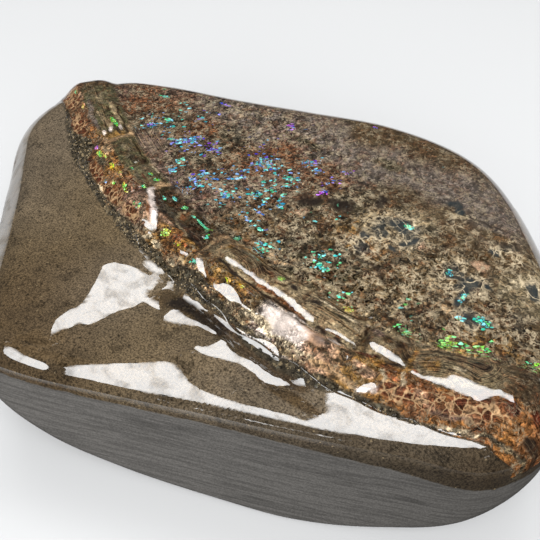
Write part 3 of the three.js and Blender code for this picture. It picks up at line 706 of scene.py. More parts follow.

# Grounds of the flank: plan place, colour. The grey-lilac grounds near the back rim are a painted reflection
# of the pale surround.
FLANK_ZONES = (
    (-86, 18, "umber"), (-80, 26, "umber"), (-75, 15, "plum"), (-68, 26, "russet"), (-66, 13, "russet"),
    (-58, 20, "russet"), (-60, 30, "haze"), (-54, 28, "russet"), (-54, 12, "moss"), (-47, 33, "haze"),
    (-44, 5, "mauve"), (-38, 2, "mauve"), (-44, 17, "moss"), (-36, 20, "russet"), (-29, 9, "moss"),
    (-25, 21, "moss"), (-38, 33, "haze"), (-20, 34, "haze"), (-20, 8, "moss"), (-24, 1, "plum"),
    (-12, 18, "russet"), (-6, 8, "plum"), (-5, 26, "russet"), (5, 18, "plum"), (5, 5, "umber"),
    (11, 27, "russet"), (-2, 42, "haze"), (18, 42, "haze"), (14, 12, "umber"), (14, 19, "moss"),
    (22, 24, "moss"), (25, 5, "moss"), (24, 14, "umber"), (31, 34, "umber"), (-18, 48, "haze"),
    (6, 57, "umber"), (30, 60, "umber"), (34, 50, "haze"), (40, 26, "sand"), (34, 16, "gold"),
    (36, 8, "moss"), (50, 14, "umber"), (52, 6, "umber"), (52, 34, "umber"), (60, 24, "umber"),
    (66, 36, "umber"), (58, 46, "haze"), (70, 50, "umber"), (76, 30, "sage"), (75, 17, "umber"),
    (86, 14, "umber"), (66, 5, "umber"), (80, 8, "gold"), (92, 8, "umber"), (90, 24, "umber"),
)
ZONE_REACH = 5.5  # how far one ground reaches into the next
# Patches of the flank: colour, plan place, and the rest of the patch
FLANK_PATCHES = (
    ("mauve", -43, 5, 7, 2.6, -20), ("mauve", -30, -3, 5, 1.8, -28), ("russet", -35, 20.5, 5, 2.6, 10),
    ("plum", -12, 36, 8, 2, 14), ("moss", -28, 14, 4, 5), ("peat", -56, 33, 3, 1, 20),
    ("peach", 15, 13.7, 2, 1.5, 20), ("peat", 14, 18.5, 4, 3, 10), ("peat", 22, 22, 4, 3),
    ("sand", 36, 25, 7, 6, 20), ("slate", 39.5, 27.3, 3.6, 2.7, -10), ("slate", 45, 24.6, 1.7, 3, -30),
    ("slate", 34, 19, 2.2, 1.6), ("slate", 43, 19.4, 1.6, 1.3), ("amber", 38.5, 14.6, 4, 2, -14),
    ("amber", 33, 15.8, 2.6, 1, -6), ("peach", 48, 24.6, 1.2, 1.6), ("peach", 62, 29.6, 2.4, 1.3, 16),
    ("slate", 64, 23, 2.6, 2.6), ("slate", 65.2, 18, 1.6, 3.6, 10), ("slate", 59, 22, 1.5, 1.4),
    ("slate", 68.5, 13, 2.2, 1.5, 12), ("slate", 73.6, 14.6, 3, 1.5, 14), ("slate", 63, 35.4, 2.5, 0.9, -8),
    ("slate", 44, 45, 2.6, 2.2), ("slate", 47.4, 43, 2.4, 1.4, -25), ("slate", 77, 31.5, 1.5, 3.4, 35),
    ("slate", 68, 25.5, 1.6, 1.2), ("sand", 57, 17, 3, 1.4), ("moss", 37, 8.6, 6, 2.4, -6),
    ("moss", 47, 31, 3, 2), ("sand", 50, 5.5, 3, 1), ("sand", 56, 5, 1.2, 2.5), ("tan", 66, 12, 4, 1.4),
    ("peat", 29, 31, 2, 4, 30), ("russet", 74, 6, 4, 1, 10), ("sage", 83, 6, 5, 1.6, 22),
    ("sand", 60, -2, 6, 0.7, -6), ("sand", 42, -2.4, 12, 0.8, 2), ("tan", 22, -3, 9, 0.9, 8),
    ("haze", 52, 49, 9, 1.6, 8), ("moss", 20, 47, 6, 2, 6), ("moss", -5, 38, 5, 1.6, 8),
    ("umber", 60, 41, 6, 2, 8),
)
FLANK_STROKES = (
    ("peat", 0.4, ((49, 43), (54, 44), (59, 45.6), (62, 46.4))),
    ("sand", 0.4, ((43, 40), (47.6, 40.4), (50, 42.6))),
    ("peat", 0.45, ((31, 10.6), (38, 11.4), (45, 11), (50, 9.4))),
    ("cream", 0.3, ((66, 13.4), (68.5, 15.2), (72, 16.4), (76, 16))),
    ("cream", 0.25, ((60.6, 15), (66, 19), (70, 24))), ("cream", 0.25, ((72, 26), (76, 35), (80, 29.6))),
    ("cream", 0.22, ((71, 31), (75, 33))),
    ("cream", 0.3, ((36, 30.4), (40, 30.6), (43.6, 28.4), (44, 25), (41.6, 23.2))),
    ("cream", 0.3, ((43.8, 21.6), (47, 22.2), (47.4, 27))),
    ("cream", 0.25, ((60.4, 36.6), (63, 37), (66, 35))),
    ("sand", 0.3, ((66, 38), (70, 41), (73, 38), (77, 39))), ("tan", 0.3, ((58, 10), (62, 12), (66, 10.6))),
    ("sand", 0.25, ((12, -2), (20, 0), (30, -1.4), (40, -0.8), (52, -1.4), (62, -1))),
    ("umber", 0.25, ((14, -3.4), (24, -2), (36, -2.4), (50, -2.6))),
    ("sage", 0.3, ((68, 2), (76, 5.4), (84, 9.4))), ("umber", 0.3, ((70, 3.6), (78, 7.2), (86, 11))),
)

# Zones of veins: plan place, reach, amount
VEIN_ZONES = (
    (40, 25, 9, 1.0), (36, 15, 7, 0.9), (62, 24, 10, 0.8), (76, 32, 8, 1.0), (66, 38, 8, 0.8),
    (70, 13, 7, 0.8), (50, 40, 10, 0.6), (52, 12, 12, 0.5), (18, 10, 10, 0.5), (-5, 8, 14, 0.35),
    (-20, 10, 12, 0.35), (80, 20, 10, 0.6), (25, 30, 8, 0.5), (30, 60, 14, 0.3),
)
# Zones of small flashes: plan place, reach, amount, hue
FLASH_ZONES = (
    (-62, 26, 5, 0.05, 0.42), (-48, 22, 6, 0.1, 0.5), (-50, 13, 5, 0.22, 0.52), (-44, 14, 4, 0.16, 0.55),
    (-34, 14, 5, 0.3, 0.58), (-36, 26, 5, 0.1, 0.56), (-25, 15, 4, 0.22, 0.62), (-26, 5, 4, 0.16, 0.52),
    (-17, 3, 5, 0.34, 0.6), (-10, 5, 5, 0.18, 0.53), (-14, 26, 6, 0.12, 0.6), (-10, 12, 5, 0.22, 0.56),
    (-7, 21.5, 4, 0.5, 0.54), (3, 21, 4, 0.34, 0.5), (3, 12, 4, 0.42, 0.48), (-5, 4, 4, 0.36, 0.52),
    (6, 5, 5, 0.24, 0.54), (10, 11, 3, 0.3, 0.49), (3, 30, 5, 0.22, 0.59), (13, 29, 4, 0.22, 0.62),
    (15, 24, 3, 0.18, 0.68), (20, 18, 5, 0.08, 0.46), (24, 19, 3, 0.18, 0.48), (33, 4, 4, 0.32, 0.44),
    (18, -2, 3, 0.36, 0.48), (44, -1, 3, 0.25, 0.42), (-84, 8, 3, 0.1, 0.2), (62, 1, 3, 0.22, 0.33),
    (72, 5, 3, 0.25, 0.27), (78, 8, 3, 0.25, 0.33), (-13, 40, 5, 0.06, 0.68), (12, 36, 5, 0.06, 0.68),
    (58, 8, 5, 0.06, 0.42), (89, 11, 2.5, 0.28, 0.3), (28, 59, 4, 0.06, 0.45), (-40, 28, 5, 0.08, 0.6),
)
# Single flashes of the flank: hue, plan place, and the rest of the patch
FLANK_FLASHES = (
    (0.42, -60, 25, 1.6, 0.6, 20), (0.44, -48, 17, 1.8, 0.7, 10), (0.61, -50, 12, 1.4, 0.7, 20),
    (0.45, -38, 11, 1.2, 0.8, 20), (0.58, -35, 12, 1.5, 2.6, -30), (0.6, -33, 16, 1.4, 2, -30),
    (0.63, -24, 16, 2.2, 1, 30), (0.46, -28, 5.5, 1.2, 0.9, 20), (0.58, -26, 1.5, 1.6, 0.9, 20),
    (0.6, -18, 2, 2, 0.9, 10), (0.56, -14, 1.6, 1.4, 0.8), (0.53, -7, 21.6, 3, 0.8, 14),
    (0.48, 3, 21.6, 1.8, 0.8, 10), (0.6, 0.5, 30.4, 1, 0.8), (0.58, 6, 30.2, 1.2, 0.6, 20),
    (0.58, 12, 28, 1.6, 0.5, -40), (0.68, 15, 23, 0.9, 0.7), (0.58, -7, 13, 1.2, 0.7),
    (0.45, 2.6, 14, 1.8, 0.6, 10), (0.48, 1.4, 10.4, 1.8, 1, 10), (0.52, -5, 4, 1.2, 0.8, 20),
    (0.48, 11, 1, 0.8, 0.5), (0.5, 9.6, 11.6, 0.8, 1.2), (0.49, 16.5, -2, 1.7, 0.8, 14),
    (0.4, 20.2, -0.8, 0.8, 0.5, 10), (0.43, 31, 5, 0.8, 0.9), (0.44, 34.5, 2.6, 1.6, 0.5, -10),
    (0.39, 43.6, -1.4, 1.3, 0.6, -20), (0.43, 44.6, 1.2, 1, 0.5), (0.31, 62.3, 0.5, 1.3, 0.45, -6),
    (0.23, 71, 4.4, 1.6, 0.9, 10), (0.33, 74, 6.6, 1.4, 0.35, 20), (0.36, 78.6, 8.8, 1.8, 0.3, 8),
    (0.45, 69, 12.3, 1.6, 0.55, 4), (0.44, 73.5, 14.8, 2.4, 1, 6), (0.4, 75, 13, 0.9, 0.4, 30),
    (0.44, 41, 28.4, 1.7, 0.7, 6), (0.46, 58.6, 22.4, 0.8, 0.8), (0.47, 65.6, 19, 0.7, 1.3),
    (0.45, 66, 16.6, 0.6, 0.8), (0.3, 87, 11.4, 0.6, 0.4), (0.33, 89, 12.8, 0.6, 0.35),
    (0.7, -15, 40.6, 2, 0.5, 12), (0.68, -40, 35, 2, 0.5, 12), (0.66, 13, 35, 1, 0.8),
    (0.12, 48, -3, 1.4, 0.45, -10), (0.7, 5, 57.4, 0.6, 0.6),
)
# Single flashes of the band: hue, along, across, and the rest of the patch
BAND_FLASHES = (
    (0.3, 28, -4.5, 1.2, 0.45), (0.11, 38.4, -3.6, 1.8, 0.6), (0.33, 52.6, 3.8, 2.9, 0.75, 9),
    (0.78, 64.2, -4.5, 1.2, 0.5), (0.15, 70.4, -3.8, 1.1, 0.4), (0.14, 76.2, -3.5, 1.3, 0.6),
    (0.26, 68.2, -4.6, 1.6, 0.7), (0.13, 82.6, -2.9, 2, 0.5, -12), (0.2, 88, -4, 1.9, 0.6, -10),
    (0.5, 79.2, -7, 0.8, 0.5), (0.33, 83, -5.6, 0.8, 0.4), (0.35, 98.4, -4.3, 0.75, 0.8),
    (0.3, 95.6, -4.6, 0.7, 0.4), (0.33, 88.8, 5.8, 0.5, 0.9, 30), (0.32, 86, 4.8, 0.6, 0.7),
    (0.35, 81, 0.9, 0.7, 0.5), (0.3, 90.8, 0.6, 0.7, 0.8), (0.46, 98, 6.9, 1.2, 0.5, -6),
    (0.42, 96.6, 4.4, 1, 0.4, -10), (0.37, 103.6, 7.2, 1.2, 0.6, 30), (0.38, 109.2, 6.9, 0.8, 0.3),
    (0.37, 113.4, 7, 2.8, 0.4), (0.37, 116, 6.9, 1.6, 0.5), (0.27, 117.6, 6.6, 0.8, 0.4),
    (0.36, 119.6, 3.9, 0.5, 0.9), (0.2, 111.6, -3.7, 1.4, 1), (0.11, 117, -4, 1.2, 0.5),
    (0.16, 136.4, -3.4, 0.9, 0.5), (0.14, 140.6, -2.4, 1.2, 0.3), (0.24, 145, 7, 0.8, 1.2, 20),
    (0.12, 163.6, 10.8, 1, 0.5, -10), (0.33, 181, 11.6, 1, 0.5, -20), (0.27, 191.2, 11.6, 1.3, 0.5),
    (0.38, 124.6, 10, 0.8, 0.6), (0.38, 125, -5, 0.8, 0.6),
)
# Patches of the band with no polish, with plain smooth grain under the pearly nacre and its painted
# highlights, and with cracked plates
RECESSES = (
    (97, 5.6, 5, 2.6, -8), (110, 4.6, 8, 2.4, -6), (21, 4.4, 4, 2),
)
SMOOTH_PEARL_AND_HIGHLIGHT = (
    (154, -2.8, 5.6, 2.6, -4), (163, -2.6, 4.5, 1.7, -6), (96, 0.2, 5, 1.2, -20), (103, -2.8, 4, 1.2, -20),
)
CRACKLE = (
    (85.5, -7, 7.5, 2.2), (73, -7.6, 5, 1.8), (98, -6.6, 5, 1.8), (48, -6.6, 8, 2.2), (30, -6, 8, 2.6),
    (186, -5.4, 6, 1.8), (199, -4.2, 9, 2.2),
)
# Where growth lines show on the band: amount, along, across, half length, half width
STREAKS = (
    (1, 134, 6.5, 11, 4.6), (1, 196, 5, 12, 5), (1, 70, 11, 12, 3.5), (1, 40, 1, 16, 2), (1, 161, 7, 9, 4),
    (0.2, 193, -4, 22, 3.4),
)
FLANK_STREAKS = (-43, 5, 8, 4, -20)
LEAST_VEINS, LEAST_STREAKS = 0.22, 0.15
# Growth lines arch over two chambers: foot of the arches and how flat they are, and the patches they fill
ARCHES = ((133, 1, 1.6), (193, -1, 1.5))
ARCHED = ((133, 5, 10, 7), (193, 5, 11, 8))

# Grounds of the bare rock, in millimetres on the turned axes: right, away, colour
ROCK_ZONES = (
    (-66, 20, "ash"), (-52, 36, "ash"), (-52, 6, "ash"), (-40, 14, "stone"), (-60, -10, "stone"),
    (-50, -26, "loam"), (-34, -2, "stone"), (-62, -32, "loam"), (-28, -28, "ash"), (-14, -44, "stone"),
    (-2, -54, "ash"), (20, -62, "ash"), (44, -68, "ash"), (60, -66, "loam"), (-44, -44, "loam"),
)
ROCK_REACH = 15
# Patches and strokes of the bare rock, on the same axes
ROCK_PATCHES = (
    ("loam", 16, -60, 10, 1.6, -38),
)
ROCK_STROKES = (
    ("sand", 0.12, ((14, -57), (28, -48), (35, -42), (45, -38))),
)
# Trenches: colour, share of crust in them, half width, points in millimetres along and across the keel
TRENCHES = (
    ("loam", 0.15, 3.0, ((126, -15.5), (134, -13.4), (146, -12.2), (158, -12.6), (166, -12.4))),
    ("peat", 0.15, 2.0, ((130, -14.8), (135, -13.3), (141, -12.6), (148, -12))),
    ("soil", 0.1, 2.0, ((147, -11.9), (153.8, -12.6), (159.4, -12.6), (165, -12.5))),
    ("crust", 0.8, 1.5, ((148, -9.4), (156, -10.2), (163, -9.8), (170, -9.6))),
)


# the grey-lilac painted reflection and the pearly nacre with its painted highlights are kept plain
QUIET = {"peat": 0.85, "slate": 0.9, "haze": 0.35, "mauve": 0.3, "pearl": 0.5}  # how plain some grounds are
ALBEDO = 0.52  # part of a finish's colour that the surface gives back, as the light is strong


def pigment(finishes, name):
    return np.array(getattr(finishes, name)) * ALBEDO



def patch(u, v, middle_u, middle_v, half_u, half_v, turn=0):
    """Cover of an ellipse, soft at its edge."""
    cos, sin = math.cos(math.radians(turn)), math.sin(math.radians(turn))
    du, dv = u - middle_u, v - middle_v
    far = np.hypot((du * cos + dv * sin) / half_u, (dv * cos - du * sin) / half_v)
    return 1 - smooth(0.7, 1.25, far)


def stroke(u, v, half, points):
    """Cover of a line through points, soft at its edge."""
    nearest = np.full(u.shape, np.inf)
    for (from_u, from_v), (to_u, to_v) in zip(points, points[1:]):
        step_u, step_v = to_u - from_u, to_v - from_v
        share = np.clip(((u - from_u) * step_u + (v - from_v) * step_v) / (step_u**2 + step_v**2), 0, 1)
        nearest = np.minimum(nearest, np.hypot(u - from_u - share * step_u, v - from_v - share * step_v))
    return 1 - smooth(0.6 * half, 1.3 * half + 0.1, nearest)


def glow(u, v, at_u, at_v, reach):
    """1 at a place, fading away over a reach."""
    return np.exp(-((u - at_u) ** 2 + (v - at_v) ** 2) / reach**2)


def laid(tone, cover, colour):
    return mix(tone, colour, cover[:, None])


def painted(finishes, tone, patches, strokes, u, v):
    """A tone with patches and strokes laid on it, and how far dark ones quieten its grain."""
    quiet = np.zeros_like(u)
    covers = [(name, patch(u, v, *place)) for name, *place in patches]
    covers += [(name, stroke(u, v, half, points)) for name, half, points in strokes]
    for name, cover in covers:
        tone = laid(tone, cover, pigment(finishes, name))
        quiet = mix(quiet, QUIET.get(name, 0.0), cover)
    return tone, quiet


def zoned(finishes, zones, reach, u, v):
    """Colours that pass softly from one zone to the next."""
    weights = [glow(u, v, at_u, at_v, reach) + 1e-9 for at_u, at_v, _ in zones]
    mixed = sum(weight[:, None] * pigment(finishes, zone[2]) for weight, zone in zip(weights, zones))
    return mixed / sum(weights)[:, None]


def along_colours(finishes, stations, along):
    colours = np.array([pigment(finishes, name) for _, name in stations])
    place = [station[0] for station in stations]
    return np.stack([np.interp(along, place, colours[:, part]) for part in range(3)], -1)


def crust_cover(along, across):
    place, low, high = np.array(CRUST).T
    low, high = np.interp(along, place, low), np.interp(along, place, high)
    return between(low, high, CRUST_SOFT, across)


# Waves that move places about, so that no mark has a ruled edge: axis, reach, size, seed
BAND_WAVES = ((0, 0.55, 2.6, 11), (0, 0.25, 0.9, 12), (1, 0.45, 2.3, 13), (1, 0.22, 0.8, 14))
FLANK_WAVES = ((0, 1.2, 5, 15), (0, 0.4, 1.3, 16), (1, 1.2, 5, 17), (1, 0.4, 1.3, 18))
CUT_WAVES = ((0, 0.3, 2.6, 11), (1, 0.25, 2.3, 13))
TRENCH_WAVES = ((0, 0.6, 2.6, 21), (1, 0.6, 2.2, 22))


def wavered(u, v, waves):
    """Places moved about by waves."""
    places = [u, v]
    for axis, reach, size, seed in waves:
        places[axis] = places[axis] + reach * wander(u, v, size, seed)
    return places


def gapped_crust(u, v):
    """Cover of the crust without its bare places."""
    crust = crust_cover(u, v)
    for _, *place in CRUST_GAPS:
        crust = crust * (1 - patch(u, v, *place))
    return crust


def flashes(x, y, along, across, on_band):
    """Amount and hue of the play of colour."""
    flash, share = np.zeros_like(x), np.full_like(x, 1e-6)
    mean = share * 0.5
    for zone_x, zone_y, reach, amount, zone_hue in FLASH_ZONES:
        weight = glow(x, y, zone_x, zone_y, reach)
        flash = np.maximum(flash, amount * weight)
        share, mean = share + weight, mean + weight * zone_hue
    flash, hue = flash * (1 - on_band), mean / share
    for spots, (a, b) in ((FLANK_FLASHES, (x, y)), (BAND_FLASHES, (along, across))):
        for spot_hue, at_a, at_b, half_a, half_b, *turn in spots:
            flash = np.maximum(flash, patch(a, b, at_a, at_b, 1.05 * half_a, 1.05 * half_b, *turn))
            around = patch(a, b, at_a, at_b, half_a + 0.6, half_b + 0.6, *turn)
            hue = np.where(around > 0.3, spot_hue, hue)
    return flash, hue


def growth_flow(along, across):
    """What the growth lines follow: lines along the keel that arch over two of the chambers."""
    near, far = [np.hypot(along - at_u, steep * (across - at_v)) for at_u, at_v, steep in ARCHES]
    bend = np.clip(sum(patch(along, across, *place) for place in ARCHED), 0, 1)
    return mix(across, np.where(along > 182, far, near), bend)


def marks(x, y, along, across, finishes):
    """Colours and amounts of every kind of mark on the shell, at plan points in millimetres."""
    u, v = wavered(along, across, BAND_WAVES)
    px, py = wavered(x, y, FLANK_WAVES)
    on_band = 1 - smooth(-0.8, 0.8, v - np.interp(u, *np.array(BAND_END).T))
    fills = smooth(-0.5, 0.5, v - np.interp(u, *np.array(SHOULDER).T))

    # colours: the flank, the band on it, and the crust on that
    tone = zoned(finishes, FLANK_ZONES, ZONE_REACH, px, py)
    tone, quiet = painted(finishes, tone, FLANK_PATCHES, FLANK_STROKES, px, py)
    band_tone = mix(along_colours(finishes, NACRE, u), along_colours(finishes, FILLS, u), fills[:, None])
    band_tone, band_quiet = painted(finishes, band_tone, BAND_PATCHES, BAND_STROKES, u, v)
    tone, quiet = laid(tone, on_band, band_tone), mix(quiet, band_quiet, on_band)
    tone = laid(tone, crust_cover(u, v), pigment(finishes, "crust"))
    for name, *place in CRUST_GAPS:
        tone = laid(tone, patch(u, v, *place), pigment(finishes, name))

    # amounts of what the shader draws
    crust = gapped_crust(u, v)
    crackle = np.maximum.reduce([patch(u, v, *place) for place in CRACKLE]) * (1 - crust)
    veins = [amount * glow(px, py, zone_x, zone_y, reach) for zone_x, zone_y, reach, amount in VEIN_ZONES]
    veins = np.maximum(LEAST_VEINS, np.maximum.reduce(veins)) * (1 - on_band)
    flash, hue = flashes(x, y, along, across, on_band)
    dull = [stroke(along, across, 2.2 * half, points) for _, half, points in CUTS]
    dull += [patch(u, v, *place) for place in RECESSES]
    # towards the back rim the grain is quietened, under the painted reflection of the pale surround
    calm = [quiet, 0.35 * on_band * np.maximum(fills, 0.6 * smooth(160, 172, u)),
            0.4 * smooth(28, 44, y + 0.25 * x - 6)]
    calm += [0.8 * patch(u, v, *place) for place in SMOOTH_PEARL_AND_HIGHLIGHT]
    streaks = sum(amount * patch(u, v, *place) for amount, *place in STREAKS)
    right, away = turned(x, y)
    on_flank = smooth(6, 12, across)
    shards = [mix(0.7 * along, 0.75 * right, on_flank), mix(1.4 * across, 1.2 * away, on_flank), 0 * x]
    streaks = on_band * np.clip(streaks + LEAST_STREAKS, 0, 1)
    return {
        "tone": tone, "shards": np.stack(shards, -1),
        "crust": crust, "crackle": crackle, "veins": veins, "flash": flash, "hue": hue,
        "streaks": np.maximum(streaks, patch(px, py, *FLANK_STREAKS)),
        "flow": growth_flow(along, across),
        "dull": np.maximum.reduce([0.85 * crust, 0.3 * crackle, *dull]),
        "calm": np.maximum.reduce(calm) * (1 - crust)}


def cut_height(along, across):
    """Depth of the narrow cuts and height of the thin walls, in metres."""
    u, v = wavered(along, across, CUT_WAVES)
    height = np.zeros_like(u)
    for depth, half, points in CUTS:
        height = height - depth * stroke(u, v, half, points)
    for rise, half, points in WALLS:
        height = height + rise * stroke(u, v, half, points)
    return height * MM


# ---------------- grids that follow the keel and the girth

def to_square(x, y):
    """Plan points as places in a square whose sides are the four quarters of the girth."""
    angle, share = locate(x, y)
    eighth = math.pi / 4
    unwound = np.where(angle < -eighth, angle + 2 * math.pi, angle) / eighth
    quarter = np.clip(np.floor((unwound + 1) / 2), 0, 3).astype(int)
    offset = share * (unwound - 2 * quarter)
    a = np.choose(quarter, [share, -offset, -share, offset])
    b = np.choose(quarter, [offset, share, -offset, -share])
    return a, b


def from_square(a, b):
    wide = np.abs(a) > np.abs(b)
    share = np.where(wide, a, b)
    safe = np.where(share == 0, 1, share)
    angle = np.where(wide, math.pi / 4 * b / safe, math.pi / 2 - math.pi / 4 * a / safe)
    radius = girth_at(np.where(share < 0, angle + math.pi, angle), girth_radius)
    return CENTRE[0] + share * radius * np.cos(angle), CENTRE[1] + share * radius * np.sin(angle)


KEEL_MIDDLE = keel_along[-1] / 2


def leaves_stone(line_at, outside):
    """Distance along the keel at which a line beside it leaves the stone."""
    inside = KEEL_MIDDLE
    for _ in range(50):
        middle = np.array((inside + outside) / 2)
        if locate(*beside_keel(middle, line_at(middle)))[1] < 1:
            inside = float(middle)
        else:
            outside = float(middle)
    return (inside + outside) / 2


START = leaves_stone(foot_line, 0.0)
END = leaves_stone(foot_line, keel_along[-1])
COLUMN_EDGE = 0.12  # how much columns close up at both ends of the keel
END_REACH = 0.025  # columns are pulled to the girth over this last part of the keel


def band_row(columns, line_at):
    """A row of plan points beside the keel, from girth to girth, with its distances along and across."""
    start, end = leaves_stone(line_at, 0.0), leaves_stone(line_at, keel_along[-1])
    near_start = np.clip(1 - (columns - START) / END_REACH, 0, 1)
    near_end = np.clip(1 - (END - columns) / END_REACH, 0, 1)
    along = columns + (start - START) * near_start + (end - END) * near_end
    across = line_at(along) + np.zeros_like(along)
    return np.stack([*beside_keel(along, across), along, across])


def outward_rows(row, side, shares):
    """Rows from a row out to the front (-1) or back (1) rim."""
    a, b = to_square(row[0], row[1])
    rows = []
    for share in shares:
        x, y = from_square(a, mix(b, side, share))
        rows.append(np.stack([x, y, *keel_place(x, y)]))
    return rows


def eased(count, closing):
    """Shares from just above 0 to 1 that close up towards 1."""
    return 1 - (1 - np.arange(1, count + 1) / count) ** closing


def end_eased(count, length, edge):
    """Distances from 0 to length, evenly spaced but closing up over a short edge at both ends."""
    even = np.linspace(0, 1, count)
    pull = edge / length
    return length * (even - pull * np.sin(2 * np.pi * even) / (2 * np.pi))


class Skin:
    """A mesh as it grows: points with their place beside the keel, and faces."""

    def __init__(self):
        self.points = []
        self.places = []
        self.faces = []
        self.count = 0

    def add(self, x, y, z, along=None, across=None):
        ids = self.count + np.arange(x.size).reshape(x.shape)
        if along is None:
            along, across = keel_place(x, y)
        self.points.append(np.stack([x.ravel(), y.ravel(), z.ravel()], -1))
        self.places.append(np.stack([along.ravel(), across.ravel()], -1))
        self.count += x.size
        return ids

    def grid(self, ids, flip=False):
        a, b, c, d = ids[:-1, :-1], ids[:-1, 1:], ids[1:, 1:], ids[1:, :-1]
        order = (a, d, c, b) if flip else (a, b, c, d)
        self.faces.extend(np.stack([part.ravel() for part in order], -1).tolist())

    def rings(self, rings):
        """Faces between closed rings, one below the other."""
        self.grid(np.stack([np.append(ring, ring[0]) for ring in rings]), True)

    def top(self, rows, flip=False):
        """The finished top over rows of plan points with their distances along and across."""
        x, y, along, across = rows
        ids = self.add(x, y, finished_height(x, y, along, across), along, across)
        self.grid(ids, flip)
        return ids

    def fan(self, ring, hub):
        hubs = np.full(len(ring), hub)
        self.faces.extend(np.stack([hubs, np.roll(ring, -1), ring], -1).tolist())

    def step_down(self, fine, coarse, stride, flip=False):
        """Triangles between a fine ring and a coarse one with one point for every stride of the fine one."""
        made = []
        half = stride // 2
        for i in range(len(coarse)):
            j = (i + 1) % len(coarse)
            for k in range(stride):
                a, b = fine[i * stride + k], fine[(i * stride + k + 1) % len(fine)]
                made.append([a, b, coarse[i] if k < half else coarse[j]])
            made.append([coarse[i], fine[i * stride + half], coarse[j]])
        self.faces.extend([face[::-1] for face in made] if flip else made)

    def mesh(self, name):
        points = np.clip(np.vstack(self.points), CAD_LOW, CAD_HIGH)
        mesh = bpy.data.meshes.new(name)
        mesh.from_pydata(points.tolist(), [], self.faces)
        mesh.validate()
        mesh.polygons.foreach_set("use_smooth", np.ones(len(mesh.polygons), bool))
        return mesh


def border(ids):
    """The edge of a grid as a ring: along the first row, up the far side, back and down the near side."""
    return np.concatenate([ids[0, :-1], ids[:-1, -1], ids[-1, :0:-1], ids[:0:-1, 0]])


# Columns along the keel and rows across it. Hidden faces have one point for every stride of the outer ones.
STRIDE = 10
SHELL_COLUMNS = 52 * STRIDE + 1
BAND_ROWS = 6 * STRIDE
FLANK_ROWS = 9 * STRIDE
FLANK_CLOSING, ROCK_CLOSING = 1.25, 1.5  # how much rows close up towards the rim
ROCK_COLUMNS = 44 * STRIDE + 1
ROCK_ROWS = 100
BED_ROWS = 2 * STRIDE
BED_SIDE_ROWS = 6 * STRIDE
BEHIND = 0.0105  # the band ends this far behind the keel
SEAM = 0.00004  # clearance between the visible shell and rock
BED_SLANT = 0.0015  # how far the hidden edge of the shell leans in under its foot
BED_INSET = 0.012  # share by which hidden floors are drawn in towards the middle
UNDER_SHARE = 0.42  # of the way to the middle that the rounding below takes, where the foot is high
UNDER_FULL = 0.016  # height of such a foot
EDGE_RINGS, WALL_RINGS, UNDER_RINGS = 7, 16, 12


def shell_rows(columns, band_rows, flank_rows, foot):
    """Rows from the foot of the band over the keel to the back rim."""
    rows = []
    for share in np.linspace(0, 1, band_rows + 1):
        rows.append(band_row(columns, lambda along, s=share: mix(foot(along), BEHIND, s)))
    rows += outward_rows(rows[-1], 1, eased(flank_rows, FLANK_CLOSING))
    return np.stack(rows, 1)


def columns_of(count):
    """Distances along the keel from one end of the stone to the other."""
    return START + end_eased(count, END - START, COLUMN_EDGE)


def close_below(skin, ring, rows, depth, flip):
    """Closes a ring of hidden edge points with a coarse floor under the given rows."""
    picked = rows[:, ::STRIDE, ::STRIDE]
    x, y = mix(picked[0], CENTRE[0], BED_INSET), mix(picked[1], CENTRE[1], BED_INSET)
    along, across = keel_place(x, y)
    z = top_height(x, y, along, across) - shell_thickness(x, y) - depth
    ids = skin.add(x, y, z, along, across)
    skin.grid(ids, flip)
    skin.step_down(ring, border(ids), STRIDE, not flip)


def finished_height(x, y, along, across):
    """Height of the finished top: the plain one, the facets and the cuts."""
    plain = top_height(x, y, along, across)
    return plain + read_grid(FACET_RELIEF, x, y) + cut_height(along / MM, across / MM)


def shell_skin():
    columns = columns_of(SHELL_COLUMNS)
    rows = shell_rows(columns, BAND_ROWS, FLANK_ROWS, lambda along: foot_line(along) + SEAM)
    skin = Skin()
    upper = border(skin.top(rows))
    points, places = skin.points[0][upper], skin.places[0][upper]
    plain = top_height(points[:, 0], points[:, 1], *keel_place(points[:, 0], points[:, 1]))
    under = points.copy()
    front = np.arange(len(upper)) < SHELL_COLUMNS
    foot_x, foot_y = beside_keel(places[:, 0], places[:, 1] + BED_SLANT)
    under[:, 0] = np.where(front, foot_x, under[:, 0])
    under[:, 1] = np.where(front, foot_y, under[:, 1])
    under[:, 2] = plain - shell_thickness(points[:, 0], points[:, 1])
    rings = [upper]
    for share in np.linspace(0, 1, EDGE_RINGS)[1:]:
        rings.append(skin.add(*mix(points, under, share).T, *places.T))
    skin.rings(rings)
    close_below(skin, rings[-1], rows, 0.0, True)
    return skin


